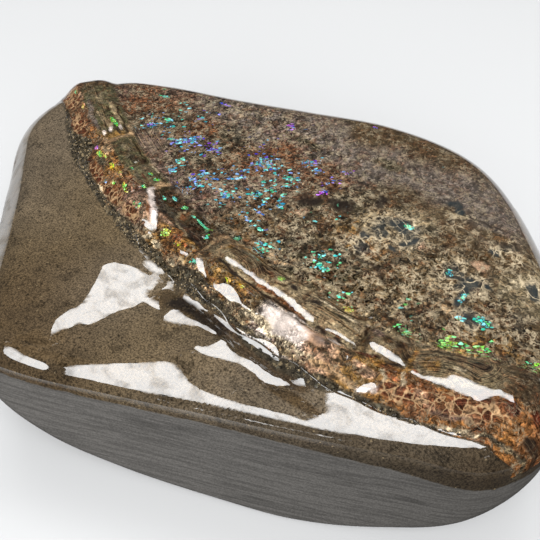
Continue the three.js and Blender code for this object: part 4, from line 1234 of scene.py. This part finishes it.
def rock_skin():
    columns = columns_of(ROCK_COLUMNS)
    foot = band_row(columns, lambda along: foot_line(along) - SEAM)
    front_rows = np.stack([foot, *outward_rows(foot, -1, eased(ROCK_ROWS, ROCK_CLOSING))][::-1], 1)
    bed_rows = shell_rows(columns, BED_ROWS, BED_SIDE_ROWS, lambda along: foot_line(along) + BED_SLANT)
    skin = Skin()
    front = skin.top(front_rows)
    wide, deep = ROCK_COLUMNS, bed_rows.shape[1]
    edge = border(np.arange(deep * wide).reshape(deep, wide))
    x, y, along, across = bed_rows.reshape(4, -1)[:, edge]
    z = top_height(x, y, along, across) - shell_thickness(x, y) - SEAM
    bed = skin.add(x, y, z, along, across)
    skin.grid(np.stack([front[-1], bed[:wide]]))
    close_below(skin, bed, bed_rows, SEAM, False)
    far = bed[wide - 1:wide - 1 + deep]
    back = bed[wide - 1 + deep - 1:2 * wide + deep - 2]
    near = np.append(bed[2 * wide + deep - 3:], bed[0])
    rim = np.concatenate([front[0], front[1:, -1], far, back[1:], near[1:], front[::-1, 0][:-1]])
    points = np.vstack(skin.points)[rim]
    angle, _ = locate(points[:, 0], points[:, 1])
    radius, foot_height = girth_at(angle, girth_radius), girth_at(angle, girth_foot)
    rings = [rim]
    for share in eased(WALL_RINGS, 1.0):
        rings.append(skin.add(points[:, 0], points[:, 1], mix(points[:, 2], foot_height, share)))
    under = UNDER_SHARE * np.clip(foot_height / UNDER_FULL, 0.25, 1)
    for turn in np.linspace(0, math.pi / 2, UNDER_RINGS + 1)[1:]:
        reach = radius * (1 - under * (1 - math.cos(turn)))
        x, y = CENTRE[0] + reach * np.cos(angle), CENTRE[1] + reach * np.sin(angle)
        rings.append(skin.add(x, y, foot_height * (1 - math.sin(turn))))
    skin.rings(rings)
    hub = skin.add(np.array([CENTRE[0]]), np.array([CENTRE[1]]), np.array([0.0]))
    skin.fan(rings[-1], hub[0])
    return skin


# ---------------- nodes written as expressions

class Link:
    """A value on its way through a node tree, with maths written on it as on a number."""

    def __init__(self, tree, socket):
        self.tree = tree
        self.socket = socket

    def maths(self, operation, *values):
        return self.tree.add("ShaderNodeMath", {"operation": operation}, dict(enumerate(values)))

    def __add__(self, other):
        return self.maths("ADD", self, other)

    def __sub__(self, other):
        return self.maths("SUBTRACT", self, other)

    def __rsub__(self, other):
        return self.maths("SUBTRACT", other, self)

    def __mul__(self, other):
        return self.maths("MULTIPLY", self, other)

    def __abs__(self):
        return self.maths("ABSOLUTE", self)

    def __lt__(self, other):
        return self.maths("LESS_THAN", self, other)

    def __getitem__(self, index):
        """Red, green or blue of a colour."""
        return self.tree.add("ShaderNodeSeparateColor", {}, {0: self}, index)

    __radd__ = __add__
    __rmul__ = __mul__

    def fade(self, low, high):
        """From 0 to 1 as the value goes from low to high."""
        return self.tree.add("ShaderNodeMapRange", {"interpolation_type": "SMOOTHSTEP"},
                             {"Value": self, "From Min": low, "From Max": high})

    def hairs(self, level, half, soft):
        """Thin lines where a noise passes a level."""
        return 1 - abs(self - level).fade(half, soft)

    def other(self, output):
        """Another output of the same node."""
        return Link(self.tree, self.socket.node.outputs[output])


class Tree:
    """A node tree as it is being made."""

    def __init__(self, tree):
        self.tree = tree

    def add(self, kind, settings, sockets, output=0):
        """Adds a node: its settings first, then the values or links of its sockets."""
        node = self.tree.nodes.new(kind)
        for name, value in settings.items():
            setattr(node, name, value)
        self.set(node, sockets)
        return Link(self, node.outputs[output])

    def set(self, node, sockets):
        for name, value in sockets.items():
            if isinstance(value, Link):
                self.tree.links.new(value.socket, node.inputs[name])
            else:
                node.inputs[name].default_value = value

    def vector(self, operation, a, b):
        return self.add("ShaderNodeVectorMath", {"operation": operation}, {0: a, 1: b})

    def scaled(self, vector, scale):
        return self.add("ShaderNodeVectorMath", {"operation": "SCALE"}, {0: vector, "Scale": scale})

    def noise(self, place, scale, detail=4.0, roughness=0.6, output=0):
        sockets = {"Vector": place, "Scale": scale, "Detail": detail, "Roughness": roughness}
        return self.add("ShaderNodeTexNoise", {}, sockets, output)

    def cells(self, place, scale):
        """A random colour for each cell."""
        return self.add("ShaderNodeTexVoronoi", {}, {"Vector": place, "Scale": scale}, "Color")

    def cell_edges(self, place, scale):
        """Distance to the nearest edge of a cell."""
        settings = {"feature": "DISTANCE_TO_EDGE"}
        return self.add("ShaderNodeTexVoronoi", settings, {"Vector": place, "Scale": scale})

    def blend(self, share, a, b, mode="MIX"):
        """Colours a and b blended: sockets 6 and 7 of a Mix node are its colours, output 2 the result."""
        return self.add("ShaderNodeMix", {"data_type": "RGBA", "blend_type": mode}, {0: share, 6: a, 7: b}, 2)

    def shaded(self, colour, factor):
        """A colour made darker or lighter by a factor."""
        grey = self.add("ShaderNodeCombineColor", {}, {0: factor, 1: factor, 2: factor})
        return self.blend(1.0, colour, grey, "MULTIPLY")

    def layer(self, name, output="Fac"):
        return self.add("ShaderNodeAttribute", {"attribute_name": name}, {}, output)

    def place(self):
        """Object coordinates in millimetres."""
        return self.scaled(self.add("ShaderNodeTexCoord", {}, {}, "Object"), 1 / MM)

    def shaken(self, place, scale, reach):
        """Places moved about by a noise, so that what is drawn on them is crooked."""
        offset = self.vector("SUBTRACT", self.noise(place, scale, 2.0, 0.5, "Color"), (0.5, 0.5, 0.5))
        return self.vector("ADD", place, self.scaled(offset, reach))

    def cracks_place(self, place):
        """Crooked and curled places, on which the plates of nacre are cracked."""
        crooked = self.shaken(place, 0.45, 2.4)
        return crooked, self.shaken(crooked, 1.1, 1.3)


def opaque(colour):
    return (*(part * ALBEDO for part in colour), 1.0)


COAT_IOR = 2.1  # of the thick clear polish
BUMP = {"Strength": 0.6, "Distance": 0.00012}


def polish(tree, colour, roughness, height, coat, coat_roughness):
    """A polished surface: what varies over it is linked, and the rest is set on its own sockets."""
    tree.set(tree.tree.nodes["Principled BSDF"], {
        "Base Color": colour, "Roughness": roughness, "Coat Weight": coat, "Coat Roughness": coat_roughness,
        "Normal": tree.add("ShaderNodeBump", {}, {**BUMP, "Height": height}),
        "Coat IOR": COAT_IOR, "Specular IOR Level": 0.0})


def new_material(name):
    material = bpy.data.materials.new(name)
    material.use_nodes = True
    return material, Tree(material.node_tree)


def crusted(tree, place, finishes):
    """Colours of the crust: black pits, grey-green grit and pale crumbs."""
    rough = tree.shaken(place, 0.9, 1.2)
    grit = tree.noise(rough, 0.9, 4.0, 0.75)
    pale = tree.noise(rough, 0.55, 4.0, 0.75, "Color")
    ground = tree.shaded(opaque(finishes.crust), grit.fade(0.36, 0.66) * 2.6 + 0.08)
    ground = tree.blend(pale[0].fade(0.55, 0.62) * 0.75, ground, opaque(finishes.sand))
    return tree.blend(pale[1].fade(0.60, 0.66) * 0.7, ground, opaque(finishes.grit))


def shell_material(finishes):
    material, tree = new_material("polished_nacre")
    place = tree.place()
    crooked, curled = tree.cracks_place(place)
    veins, crackle, crust, streaks, flash, hue, calm = [tree.layer(name) for name in (
        "veins", "crackle", "crust", "streaks", "flash", "hue", "calm")]
    lively = 1 - calm

    # fine grain, with dark pits
    grain = tree.noise(crooked, 1.1, 4.0, 0.8)
    fields = tree.noise(curled, 0.42, 3.0, 0.62, "Color")
    small = tree.noise(curled, 0.9, 2.0, 0.6, "Color")
    tints = tree.noise(place, 0.3, 5.0, 0.65, "Color")
    patchy = tints[2].fade(0.44, 0.56)
    grained = (grain.fade(0.38, 0.64) * 1.75 + 0.15) * (small[0].fade(0.38, 0.62) + 0.5)
    flakes = tree.cells(crooked, 0.75)
    flaked = flakes[1] * 0.9 + 0.5
    colour = tree.shaded(tree.layer("tone", "Color"), (grained * flaked * 0.92 - 1) * lively + 1)
    warm = tints[0].fade(0.46, 0.58) * (flakes[0] * 0.7 + 0.2) * lively * (1 - veins * 0.6)
    colour = tree.blend(warm, colour, tree.shaded(opaque(finishes.russet), grained * 0.75))
    colour = tree.shaded(colour, 1 - tints[1].fade(0.52, 0.62) * 0.5 * lively)
    colour = tree.shaded(colour, 1 - fields[2].fade(0.54, 0.59) * 0.6 * lively)

    # large plates of the flank, some dark, with pale seams
    broad = tree.shaken(tree.shaken(place, 0.14, 7.0), 0.7, 1.8)
    deep = tree.cells(broad, 0.22)[0].fade(0.62, 0.68) * veins.fade(0.4, 0.8) * lively
    colour = tree.blend(deep * 0.85, colour, tree.shaded(opaque(finishes.slate), grained * 0.6 + 0.4))
    seams = 1 - tree.cell_edges(broad, 0.22).fade(0.015, 0.05)
    colour = tree.blend(seams * veins.fade(0.3, 0.8) * (patchy * 0.7 + 0.2), colour, opaque(finishes.cream))

    # curled hair lines, pale and dark, flecks, and nets of veins
    threads = (veins * 0.75 + 0.25) * lively * (patchy * 0.8 + 0.2) * (1 - deep * 0.8)
    net = 1 - tree.cell_edges(curled, 0.42).fade(0.02, patchy * 0.06 + 0.06)
    colour = tree.shaded(colour, 1 - fields[1].hairs(0.55, 0.014, 0.045) * 0.75 * lively)
    colour = tree.blend(small[1].hairs(0.57, 0.018, 0.055) * threads * 0.7, colour, opaque(finishes.sand))
    for cover in (small[2].fade(0.61, 0.65) * threads * 0.8,
                  fields[0].hairs(0.56, 0.010, 0.036) * threads * 0.95,
                  net * veins * patchy * 0.7 * lively):
        colour = tree.blend(cover, colour, opaque(finishes.cream))

    # cracked plates of nacre
    cracked = tree.cells(crooked, 0.42)
    plate = tree.blend(cracked[0], opaque(finishes.maroon), opaque(finishes.russet))
    plate = tree.blend(cracked[1].fade(0.82, 0.95) * 0.6, plate, opaque(finishes.tan))
    plate = tree.shaded(plate, grained * 0.7 + 0.15)
    gaps = 1 - tree.cell_edges(crooked, 0.42).fade(0.03, patchy * 0.05 + 0.07)
    plate = tree.blend(gaps * 0.85, plate, tree.shaded(opaque(finishes.tan), grained * 0.3 + 0.65))
    colour = tree.blend(crackle * (patchy * 0.2 + 0.75), colour, plate)

    # growth lines along the walls of the chambers
    drawn = tree.add("ShaderNodeCombineXYZ", {}, {
        0: tree.layer("flow") * 2.2, 1: tree.noise(place, 0.12, 1.0) * 2.0})
    line = tree.noise(drawn, 1.0, 5.0, 0.75)
    dark_line = 1 - line.fade(0.40, 0.46)
    colour = tree.shaded(colour, 1 - streaks * dark_line * 0.9)
    colour = tree.blend(streaks * line.fade(0.54, 0.59) * 0.5, colour, opaque(finishes.tan))
    colour = tree.blend(crust, colour, crusted(tree, place, finishes))

    # flashes of play of colour
    drawn_out = tree.shaken(tree.layer("shards", "Color"), 0.8, 0.9)
    shard = tree.cells(drawn_out, 1.2)
    lit = (flash - shard[0] * 0.9).fade(0.0, 0.05) * tree.cell_edges(drawn_out, 1.2).fade(0.03, 0.18)
    sheen = tree.add("ShaderNodeCombineColor", {"mode": "HSV"}, {
        0: hue + shard[1] * 0.2 - 0.08,
        1: shard[2] * 0.3 + 0.68,
        2: (grained * 0.4 + 0.6) * (shard[2] * -0.35 + 0.64)})
    colour = tree.blend(lit * 0.92, colour, sheen)

    height = grain * 0.6 - gaps * crackle * 0.8 - dark_line * streaks * 0.6 + crust * grain * 2.5
    polish(tree, colour, 0.62 - lit * 0.3, height, 1 - tree.layer("dull"), 0.035)
    return material


def rock_material(finishes):
    material, tree = new_material("polished_rock")
    place = tree.place()
    crust = tree.layer("crust")
    speckle = tree.noise(place, 2.2, 2.0, 0.8)
    stains = tree.noise(tree.shaken(place, 0.12, 6.0), 0.2, 5.0, 0.7)
    clouds = tree.noise(place, 0.09, 5.0, 0.65) * 1.1 + 0.45
    colour = tree.shaded(tree.layer("tone", "Color"), (speckle.fade(0.36, 0.64) * 1.1 + 0.5) * clouds)
    colour = tree.shaded(colour, 1 - stains.fade(0.55, 0.66) * 0.4)
    veinlet = tree.noise(tree.shaken(place, 0.25, 4.0), 0.11, 3.0).hairs(0.5, 0.004, 0.012)
    colour = tree.shaded(colour, 1 - veinlet * stains.fade(0.5, 0.56) * 0.4)
    motes = tree.cells(place, 0.9)
    near, picked = motes.other("Distance"), motes[0]
    colour = tree.shaded(colour, 1 - (1 - near.fade(0.2, 0.45)) * (picked < 0.3) * 0.5)
    pale_mote = (1 - near.fade(0.1, 0.3)) * (1 - (picked < 0.93))
    colour = tree.blend(pale_mote * 0.5, colour, opaque(finishes.sand))
    colour = tree.blend(crust, colour, crusted(tree, place, finishes))

    # the side: matte, with fine level streaks, and painted shade that is lighter at the left and darker
    # towards the right
    streak = tree.noise(tree.vector("MULTIPLY", place, (0.05, 0.05, 1.0)), 1.3, 5.0, 0.7)
    smear = tree.noise(tree.vector("MULTIPLY", place, (0.05, 0.05, 0.3)), 0.6, 3.0, 0.6)
    sawn = (streak.fade(0.40, 0.60) * 0.36 + 0.82) * (speckle.fade(0.38, 0.62) * 0.32 + 0.84)
    smeared = 1.12 - smear.fade(0.56, 0.7) * 0.3
    side = tree.shaded(opaque(finishes.wall), sawn * smeared * tree.layer("shade"))
    ragged = tree.layer("down") + tree.noise(place, 0.35, 4.0, 0.6) * 1.4 - 0.7
    matte = ragged.fade(-0.25, 0.35)
    colour = tree.blend(matte, colour, side)
    height = speckle * 0.3 + matte * streak * 0.8 + crust * tree.noise(place, 1.5, 6.0, 0.7) * 2.5
    worn = 1 - tree.noise(tree.shaken(place, 0.12, 9.0), 0.16, 5.0, 0.55).fade(0.46, 0.66) * 0.42
    polish(tree, colour, matte * 0.25 + 0.5, height, (1 - matte) * worn * (1 - tree.layer("dull")), 0.045)
    return material


def crumb_material(finishes):
    material, tree = new_material("crumbs")
    speckle = tree.noise(tree.place(), 3.0, 3.0)
    colour = tree.blend(tree.layer("shade").fade(0.55, 0.9), opaque(finishes.crust), opaque(finishes.sand))
    polish(tree, tree.shaded(colour, speckle * 1.2 + 0.3), 0.6, speckle, 1.0, 0.06)
    return material


# ---------------- geometry node trees

def new_group(name, *entries):
    """A tree with named inputs between its geometry and its material, and the first of its inputs."""
    group = bpy.data.node_groups.new(name, "GeometryNodeTree")
    group.interface.new_socket("Geometry", in_out="OUTPUT", socket_type="NodeSocketGeometry")
    group.interface.new_socket("Geometry", in_out="INPUT", socket_type="NodeSocketGeometry")
    for title, kind, value, description in (*entries, ("Material", "NodeSocketMaterial", None, "Finish")):
        socket = group.interface.new_socket(title, in_out="INPUT", socket_type=kind, description=description)
        socket.default_value = value
    tree = Tree(group)
    return tree, tree.add("NodeGroupInput", {}, {})


def ended(tree, geometry, material):
    """The finished tree: it realises the geometry and gives it its material."""
    solid = tree.add("GeometryNodeRealizeInstances", {}, {0: geometry})
    dressed = tree.add("GeometryNodeSetMaterial", {}, {"Geometry": solid, "Material": material})
    out = tree.tree.nodes.new("NodeGroupOutput")
    tree.tree.links.new(dressed.socket, out.inputs[0])
    return tree.tree


def named_amount(tree, name):
    return tree.add("GeometryNodeInputNamedAttribute", {"data_type": "FLOAT"}, {"Name": name})


def relief_group():
    """Cracks between plates of nacre, and the lumps of the crust, on a mesh that says where they are."""
    tree, mesh = new_group(
        "Nacre relief",
        ("Plate", "NodeSocketFloat", 0.42, "Plates of nacre in a millimetre"),
        ("Crack", "NodeSocketFloat", 0.0001, "Depth of the cracks"),
        ("Lump", "NodeSocketFloat", 0.0003, "Height of the lumps"))
    place = tree.scaled(tree.add("GeometryNodeInputPosition", {}, {}), 1 / MM)
    gap = 1 - tree.cell_edges(tree.cracks_place(place)[1], mesh.other("Plate")).fade(0.02, 0.22)
    lumps = (tree.noise(place, 0.9, 5.0, 0.7) - 0.5) * named_amount(tree, "crust") * mesh.other("Lump") * 2
    rise = lumps - gap * named_amount(tree, "crackle") * mesh.other("Crack")
    offset = tree.scaled(tree.add("GeometryNodeInputNormal", {}, {}), rise)
    moved = tree.add("GeometryNodeSetPosition", {}, {"Geometry": mesh, "Offset": offset})
    return ended(tree, moved, mesh.other("Material"))


def crumb_group():
    """Small crumbs half sunk in the crust."""
    tree, mesh = new_group(
        "Crumbs",
        ("Density", "NodeSocketFloat", 1.2e6, "Crumbs in a square metre"),
        ("Smallest", "NodeSocketFloat", 0.00012, "Radius of the smallest crumbs"),
        ("Largest", "NodeSocketFloat", 0.00035, "Radius of the largest crumbs"),
        ("Seed", "NodeSocketInt", 7, "Which crumbs lie where"))
    seed = mesh.other("Seed")
    density = mesh.other("Density") * named_amount(tree, "crust").fade(0.4, 0.9)
    points = tree.add("GeometryNodeDistributePointsOnFaces", {}, {
        "Mesh": mesh, "Density": density, "Seed": seed})
    size = tree.add("FunctionNodeRandomValue", {"data_type": "FLOAT"}, {
        2: mesh.other("Smallest"), 3: mesh.other("Largest"), "Seed": seed}, 1)
    turn = tree.add("FunctionNodeRandomValue", {"data_type": "FLOAT_VECTOR"}, {
        1: (6.28,) * 3, "Seed": seed + 1})
    shade = tree.add("FunctionNodeRandomValue", {"data_type": "FLOAT"}, {"Seed": seed + 2}, 1)
    marked = tree.add("GeometryNodeStoreNamedAttribute", {"data_type": "FLOAT", "domain": "POINT"}, {
        "Geometry": points, "Name": "shade", "Value": shade})
    crumb = tree.add("GeometryNodeMeshIcoSphere", {}, {"Radius": 1.0, "Subdivisions": 1})
    laid_out = tree.add("GeometryNodeInstanceOnPoints", {}, {
        "Points": marked, "Instance": crumb, "Rotation": turn, "Scale": size})
    return ended(tree, laid_out, mesh.other("Material"))


def run_group(name, mesh, group, inputs):
    """The plain mesh that a geometry node tree makes of a mesh."""
    carrier = bpy.data.objects.new(name, mesh)
    bpy.context.scene.collection.objects.link(carrier)
    modifier = carrier.modifiers.new(name, "NODES")
    modifier.node_group = group
    for item in group.interface.items_tree:
        if item.item_type == "SOCKET" and item.in_out == "INPUT" and item.name in inputs:
            modifier[item.identifier] = inputs[item.name]
    bpy.context.view_layer.update()
    evaluated = carrier.evaluated_get(bpy.context.evaluated_depsgraph_get())
    made = bpy.data.meshes.new_from_object(evaluated)
    made.name = name
    carrier.modifiers.remove(modifier)
    bpy.data.objects.remove(carrier)
    return made


# ---------------- pieces

def give_layer(mesh, name, values):
    if values.ndim == 2:
        layer = mesh.attributes.new(name, "FLOAT_COLOR", "POINT")
        layer.data.foreach_set("color", np.column_stack([values, np.ones(len(values))]).ravel())
    else:
        layer = mesh.attributes.new(name, "FLOAT", "POINT")
        layer.data.foreach_set("value", values)


def mesh_places(mesh):
    points = np.empty(3 * len(mesh.vertices))
    mesh.vertices.foreach_get("co", points)
    return points.reshape(-1, 3)


def finish_piece(name, mesh, slot, *nodes):
    """Keeps a mesh inside the box of the solids and hands it to the frame as a piece."""
    limits = np.clip(mesh_places(mesh), CAD_LOW, CAD_HIGH)
    mesh.vertices.foreach_set("co", limits.ravel())
    mesh.update()
    mesh.polygons.foreach_set("use_smooth", np.ones(len(mesh.polygons), bool))
    piece = bpy.data.objects.new(name, mesh)
    bpy.context.scene.collection.objects.link(piece)
    if nodes:
        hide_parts(*nodes)
    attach(piece, "root")
    return piece


def relief_piece(name, mesh, sizes, material, node):
    inputs = {"Crack": sizes.crack, "Lump": sizes.lump, "Material": material}
    finish_piece(name, run_group(name, mesh, relief_group(), inputs), name, node)


def skin_mesh(skin, name):
    """The mesh of a skin, and its plan points and its places beside the keel in millimetres."""
    mesh = skin.mesh(name)
    points = mesh_places(mesh) / MM
    return mesh, points, np.vstack(skin.places).T / MM


END_RIM = (0.92, 0.96)  # share of the way out where the polish of the shell's near end stops


def make_shell(sizes, finishes):
    mesh, points, (along, across) = skin_mesh(shell_skin(), "shell_skin")
    x, y = points[:, :2].T
    _, share = locate(x * MM, y * MM)
    right, away = turned(x, y)
    end_rim = smooth(*END_RIM, share) * smooth(40, 60, right) * (away < -20)
    lit, broken = [read_grid(grid, x * MM, y * MM) for grid in (FACET_COVER, BROKEN_POLISH)]
    layers = marks(x, y, along, across, finishes)
    layers["dull"] = np.maximum.reduce([layers["dull"] * (1 - lit), broken, end_rim])
    layers["crust"] *= 1 - lit
    layers["crackle"] *= 1 - 0.7 * lit
    for name, values in layers.items():
        give_layer(mesh, name, values)
    relief_piece("shell", mesh, sizes, shell_material(finishes), "ammonite_shell")


# Round the rock, by place to the right in millimetres: how far the polish reaches down, how dark its lower
# edge is, how far below the rim it is worn off, and the painted shade of the matte side, lighter at the left
# and darker towards the right as the light falls on it. The first three are even behind.
STRIP = ((-60, 2.2), (0, 3.4), (60, 7.0))
STRIP_BEHIND = 3.0
LOWER = ((-60, 0.25), (-10, 0.45), (20, 0.65), (60, 0.75))
LOWER_BEHIND = 0.3
WORN = ((-70, -0.8), (-50, 0.3), (-10, 0.3), (15, 0.0), (30, -0.9))
WORN_BEHIND = -0.8
SIDE_SHADE = ((-60, 1.1), (0, 0.98), (30, 0.85), (60, 0.72), (75, 0.66))


def make_rock(sizes, finishes):
    mesh, points, (along, across) = skin_mesh(rock_skin(), "rock_skin")
    x, y, z = points.T
    angle, share = locate(x * MM, y * MM)
    right, away = turned(x, y)
    front = smooth(0, -20, away)
    below = girth_at(angle, girth_rim) / MM - z
    tables = (STRIP, LOWER, WORN, SIDE_SHADE)
    strip, darkness, worn, shade = [np.interp(right, *np.array(table).T) for table in tables]

    tone = zoned(finishes, ROCK_ZONES, ROCK_REACH, right, away)
    tone, _ = painted(finishes, tone, ROCK_PATCHES, ROCK_STROKES, right, away)
    lower = np.maximum(smooth(-0.8, 3.0, below), 0.8 * smooth(0.91, 0.975, share))
    tone = tone * (1 - lower * mix(LOWER_BEHIND, darkness, front))[:, None]
    crust = gapped_crust(*wavered(along, across, BAND_WAVES))
    u, v = wavered(along, across, TRENCH_WAVES)
    for name, filled, half, way in TRENCHES:
        cover = stroke(u, v, half, way) * (across < 0)
        tone = laid(tone, cover, pigment(finishes, name))
        crust = np.maximum(crust, filled * cover)

    lit, broken = [read_grid(grid, x * MM, y * MM) for grid in (FACET_COVER, BROKEN_POLISH)]
    worn_from = mix(WORN_BEHIND, worn, front)
    layers = {
        "tone": tone, "crust": crust * (1 - lit), "crackle": np.zeros_like(x),
        "down": below - mix(STRIP_BEHIND, strip, front),
        "dull": np.maximum(broken * (z > 20), 0.95 * smooth(worn_from, worn_from + 1.2, below)),
        "shade": shade}
    for name, values in layers.items():
        give_layer(mesh, name, values)
    relief_piece("rock", mesh, sizes, rock_material(finishes), "matrix")


CRUMB_BED = ((0.030, 0.200, 600), (-0.0125, -0.0040, 40))  # from, to, count: along and across the keel


def make_crumbs(sizes, finishes):
    along, across = np.meshgrid(*(np.linspace(*line) for line in CRUMB_BED), indexing="ij")
    x, y = beside_keel(along, across)
    _, share = locate(x, y)
    skin = Skin()
    skin.top((x, y, along, across), True)
    mesh = skin.mesh("crumb_bed")
    give_layer(mesh, "crust", (crust_cover(along / MM, across / MM) * (share < 0.97)).ravel())
    inputs = {"Smallest": sizes.crumb_low, "Largest": sizes.crumb_high, "Material": crumb_material(finishes)}
    finish_piece("crust_crumbs", run_group("crust_crumbs", mesh, crumb_group(), inputs), "rock")


# The camera's angle of view in degrees and its sensor in millimetres
VIEW, SENSOR = 42, 36
# The fill overhead, and the one on the near side, which leans 50 degrees towards the stone
FILL_HEIGHT, FILL_SIZE = 2.5, (4.0, 4.0)
FRONT_PLACE, FRONT_HEIGHT, FRONT_LEAN, FRONT_SIZE = -1.7, 1.4, 50, (2.4, 2.4)


def make_stage(stage):
    """Floor, camera, the lamp that the polish mirrors, two fills and a faint surround."""
    scene = bpy.context.scene
    bpy.ops.mesh.primitive_plane_add(size=stage.floor, location=(0, 0, 0))
    floor = bpy.context.object
    floor.name = "floor"
    material, tree = new_material("floor")
    tree.set(tree.tree.nodes["Principled BSDF"], {"Base Color": (*stage.floor_colour, 1), "Roughness": 0.8})
    floor.data.materials.append(material)

    camera = bpy.data.objects.new("camera", bpy.data.cameras.new("camera"))
    scene.collection.objects.link(camera)
    camera.location = Vector(EYE)
    camera.rotation_euler = Vector(AIM - EYE).to_track_quat("-Z", "Y").to_euler()
    camera.data.sensor_width = SENSOR
    camera.data.lens = SENSOR / 2 / math.tan(math.radians(VIEW / 2))
    camera.data.clip_start = 0.005
    scene.camera = camera

    facing = math.atan2(AWAY[1], AWAY[0]) - math.pi / 2
    lamps = (("lamp", stage.lamp, AWAY * LAMP_MIDDLE, LAMP_HEIGHT, 0, LAMP_WIDTH, LAMP_FAR - LAMP_NEAR, True),
             ("fill", stage.fill, AWAY * 0, FILL_HEIGHT, 0, *FILL_SIZE, False),
             ("front", stage.front, AWAY * FRONT_PLACE, FRONT_HEIGHT, FRONT_LEAN, *FRONT_SIZE, False))
    for name, energy, place, height, lean, wide, deep, mirrored in lamps:
        light = bpy.data.lights.new(name, "AREA")
        light.shape = "RECTANGLE"
        light.size, light.size_y = wide, deep
        light.energy = energy
        lamp = bpy.data.objects.new(name, light)
        scene.collection.objects.link(lamp)
        lamp.location = (*place, height)
        lamp.rotation_euler = (math.radians(lean), 0, facing)
        lamp.visible_glossy = mirrored
    world = bpy.data.worlds.new("world")
    scene.world = world
    world.use_nodes = True
    Tree(world.node_tree).set(world.node_tree.nodes["Background"], {
        "Color": (0.92, 0.96, 1.0, 1), "Strength": stage.surround})
    scene.view_settings.view_transform = "Standard"


# ---------------- add-on

def length(name, description, default):
    return bpy.props.FloatProperty(
        name=name, description=description, default=default, unit="LENGTH", precision=5)


def power(name, description, default):
    return bpy.props.FloatProperty(name=name, description=description, default=default, min=0, unit="POWER")


def tint(name, description, default):
    return bpy.props.FloatVectorProperty(
        name=name, description=description, default=default, size=3, subtype="COLOR", min=0, max=1)


class SpecimenSizes(bpy.types.PropertyGroup):
    """Sizes of the fine relief."""

    crack: length("Cracks", "Depth of the cracks between plates of nacre", 0.00010)
    lump: length("Lumps", "Height of the lumps of the crust", 0.00030)
    crumb_low: length("Smallest crumbs", "Radius of the smallest crumbs on the crust", 0.00012)
    crumb_high: length("Largest crumbs", "Radius of the largest crumbs on the crust", 0.00035)


class SpecimenFinishes(bpy.types.PropertyGroup):
    """Colours of the rock and of the nacre."""

    __annotations__ = {key: tint(key.capitalize(), *finish) for key, finish in FINISHES.items()}


class SpecimenStage(bpy.types.PropertyGroup):
    """Floor and light."""

    floor: length("Floor", "Side of the floor", 6.0)
    floor_colour: tint("Floor colour", "Colour of the floor", (0.405, 0.409, 0.413))
    lamp: power("Lamp", "Power of the lamp that the polish mirrors", 6.0)
    fill: power("Fill", "Power of the large fill overhead", 50.0)
    front: power("Front", "Power of the fill on the near side", 150.0)
    surround: bpy.props.FloatProperty(
        name="Surround", description="Strength of the light from all round", default=0.05, min=0)


class SPECIMEN_OT_rock(bpy.types.Operator):
    """Make the bare rock with its polished top and matte side"""

    bl_idname = "specimen.rock"
    bl_label = "Rock"

    def execute(self, context):
        make_rock(context.scene.specimen_sizes, context.scene.specimen_finishes)
        return {"FINISHED"}


class SPECIMEN_OT_shell(bpy.types.Operator):
    """Make the fossil shell that lies in the top of the rock"""

    bl_idname = "specimen.shell"
    bl_label = "Shell"

    def execute(self, context):
        make_shell(context.scene.specimen_sizes, context.scene.specimen_finishes)
        return {"FINISHED"}


class SPECIMEN_OT_crumbs(bpy.types.Operator):
    """Make the crumbs of the crust along the foot of the shell"""

    bl_idname = "specimen.crumbs"
    bl_label = "Crumbs"

    def execute(self, context):
        make_crumbs(context.scene.specimen_sizes, context.scene.specimen_finishes)
        return {"FINISHED"}


class SPECIMEN_OT_stage(bpy.types.Operator):
    """Make the floor, the lights and the camera"""

    bl_idname = "specimen.stage"
    bl_label = "Stage"

    def execute(self, context):
        make_stage(context.scene.specimen_stage)
        return {"FINISHED"}


STEPS = (SPECIMEN_OT_rock, SPECIMEN_OT_shell, SPECIMEN_OT_crumbs, SPECIMEN_OT_stage)


class SPECIMEN_PT_panel(bpy.types.Panel):
    """Lists the steps and their sizes and colours"""

    bl_idname = "SPECIMEN_PT_panel"
    bl_label = "Ammolite specimen"
    bl_space_type = "VIEW_3D"
    bl_region_type = "UI"
    bl_category = "Specimen"

    def draw(self, context):
        for step in STEPS:
            self.layout.operator(step.bl_idname)
        for group in GROUPS:
            for name in group.__annotations__:
                self.layout.prop(getattr(context.scene, GROUPS[group]), name)


GROUPS = {
    SpecimenSizes: "specimen_sizes",
    SpecimenFinishes: "specimen_finishes",
    SpecimenStage: "specimen_stage",
}


def register():
    for group, name in GROUPS.items():
        bpy.utils.register_class(group)
        setattr(bpy.types.Scene, name, bpy.props.PointerProperty(type=group))
    for step in (*STEPS, SPECIMEN_PT_panel):
        bpy.utils.register_class(step)


def unregister():
    for step in (SPECIMEN_PT_panel, *reversed(STEPS)):
        bpy.utils.unregister_class(step)
    for group, name in GROUPS.items():
        delattr(bpy.types.Scene, name)
        bpy.utils.unregister_class(group)


def main():
    register()
    bpy.ops.specimen.rock()
    bpy.ops.specimen.shell()
    bpy.ops.specimen.crumbs()
    bpy.ops.specimen.stage()


if __name__ == "__main__":
    main()
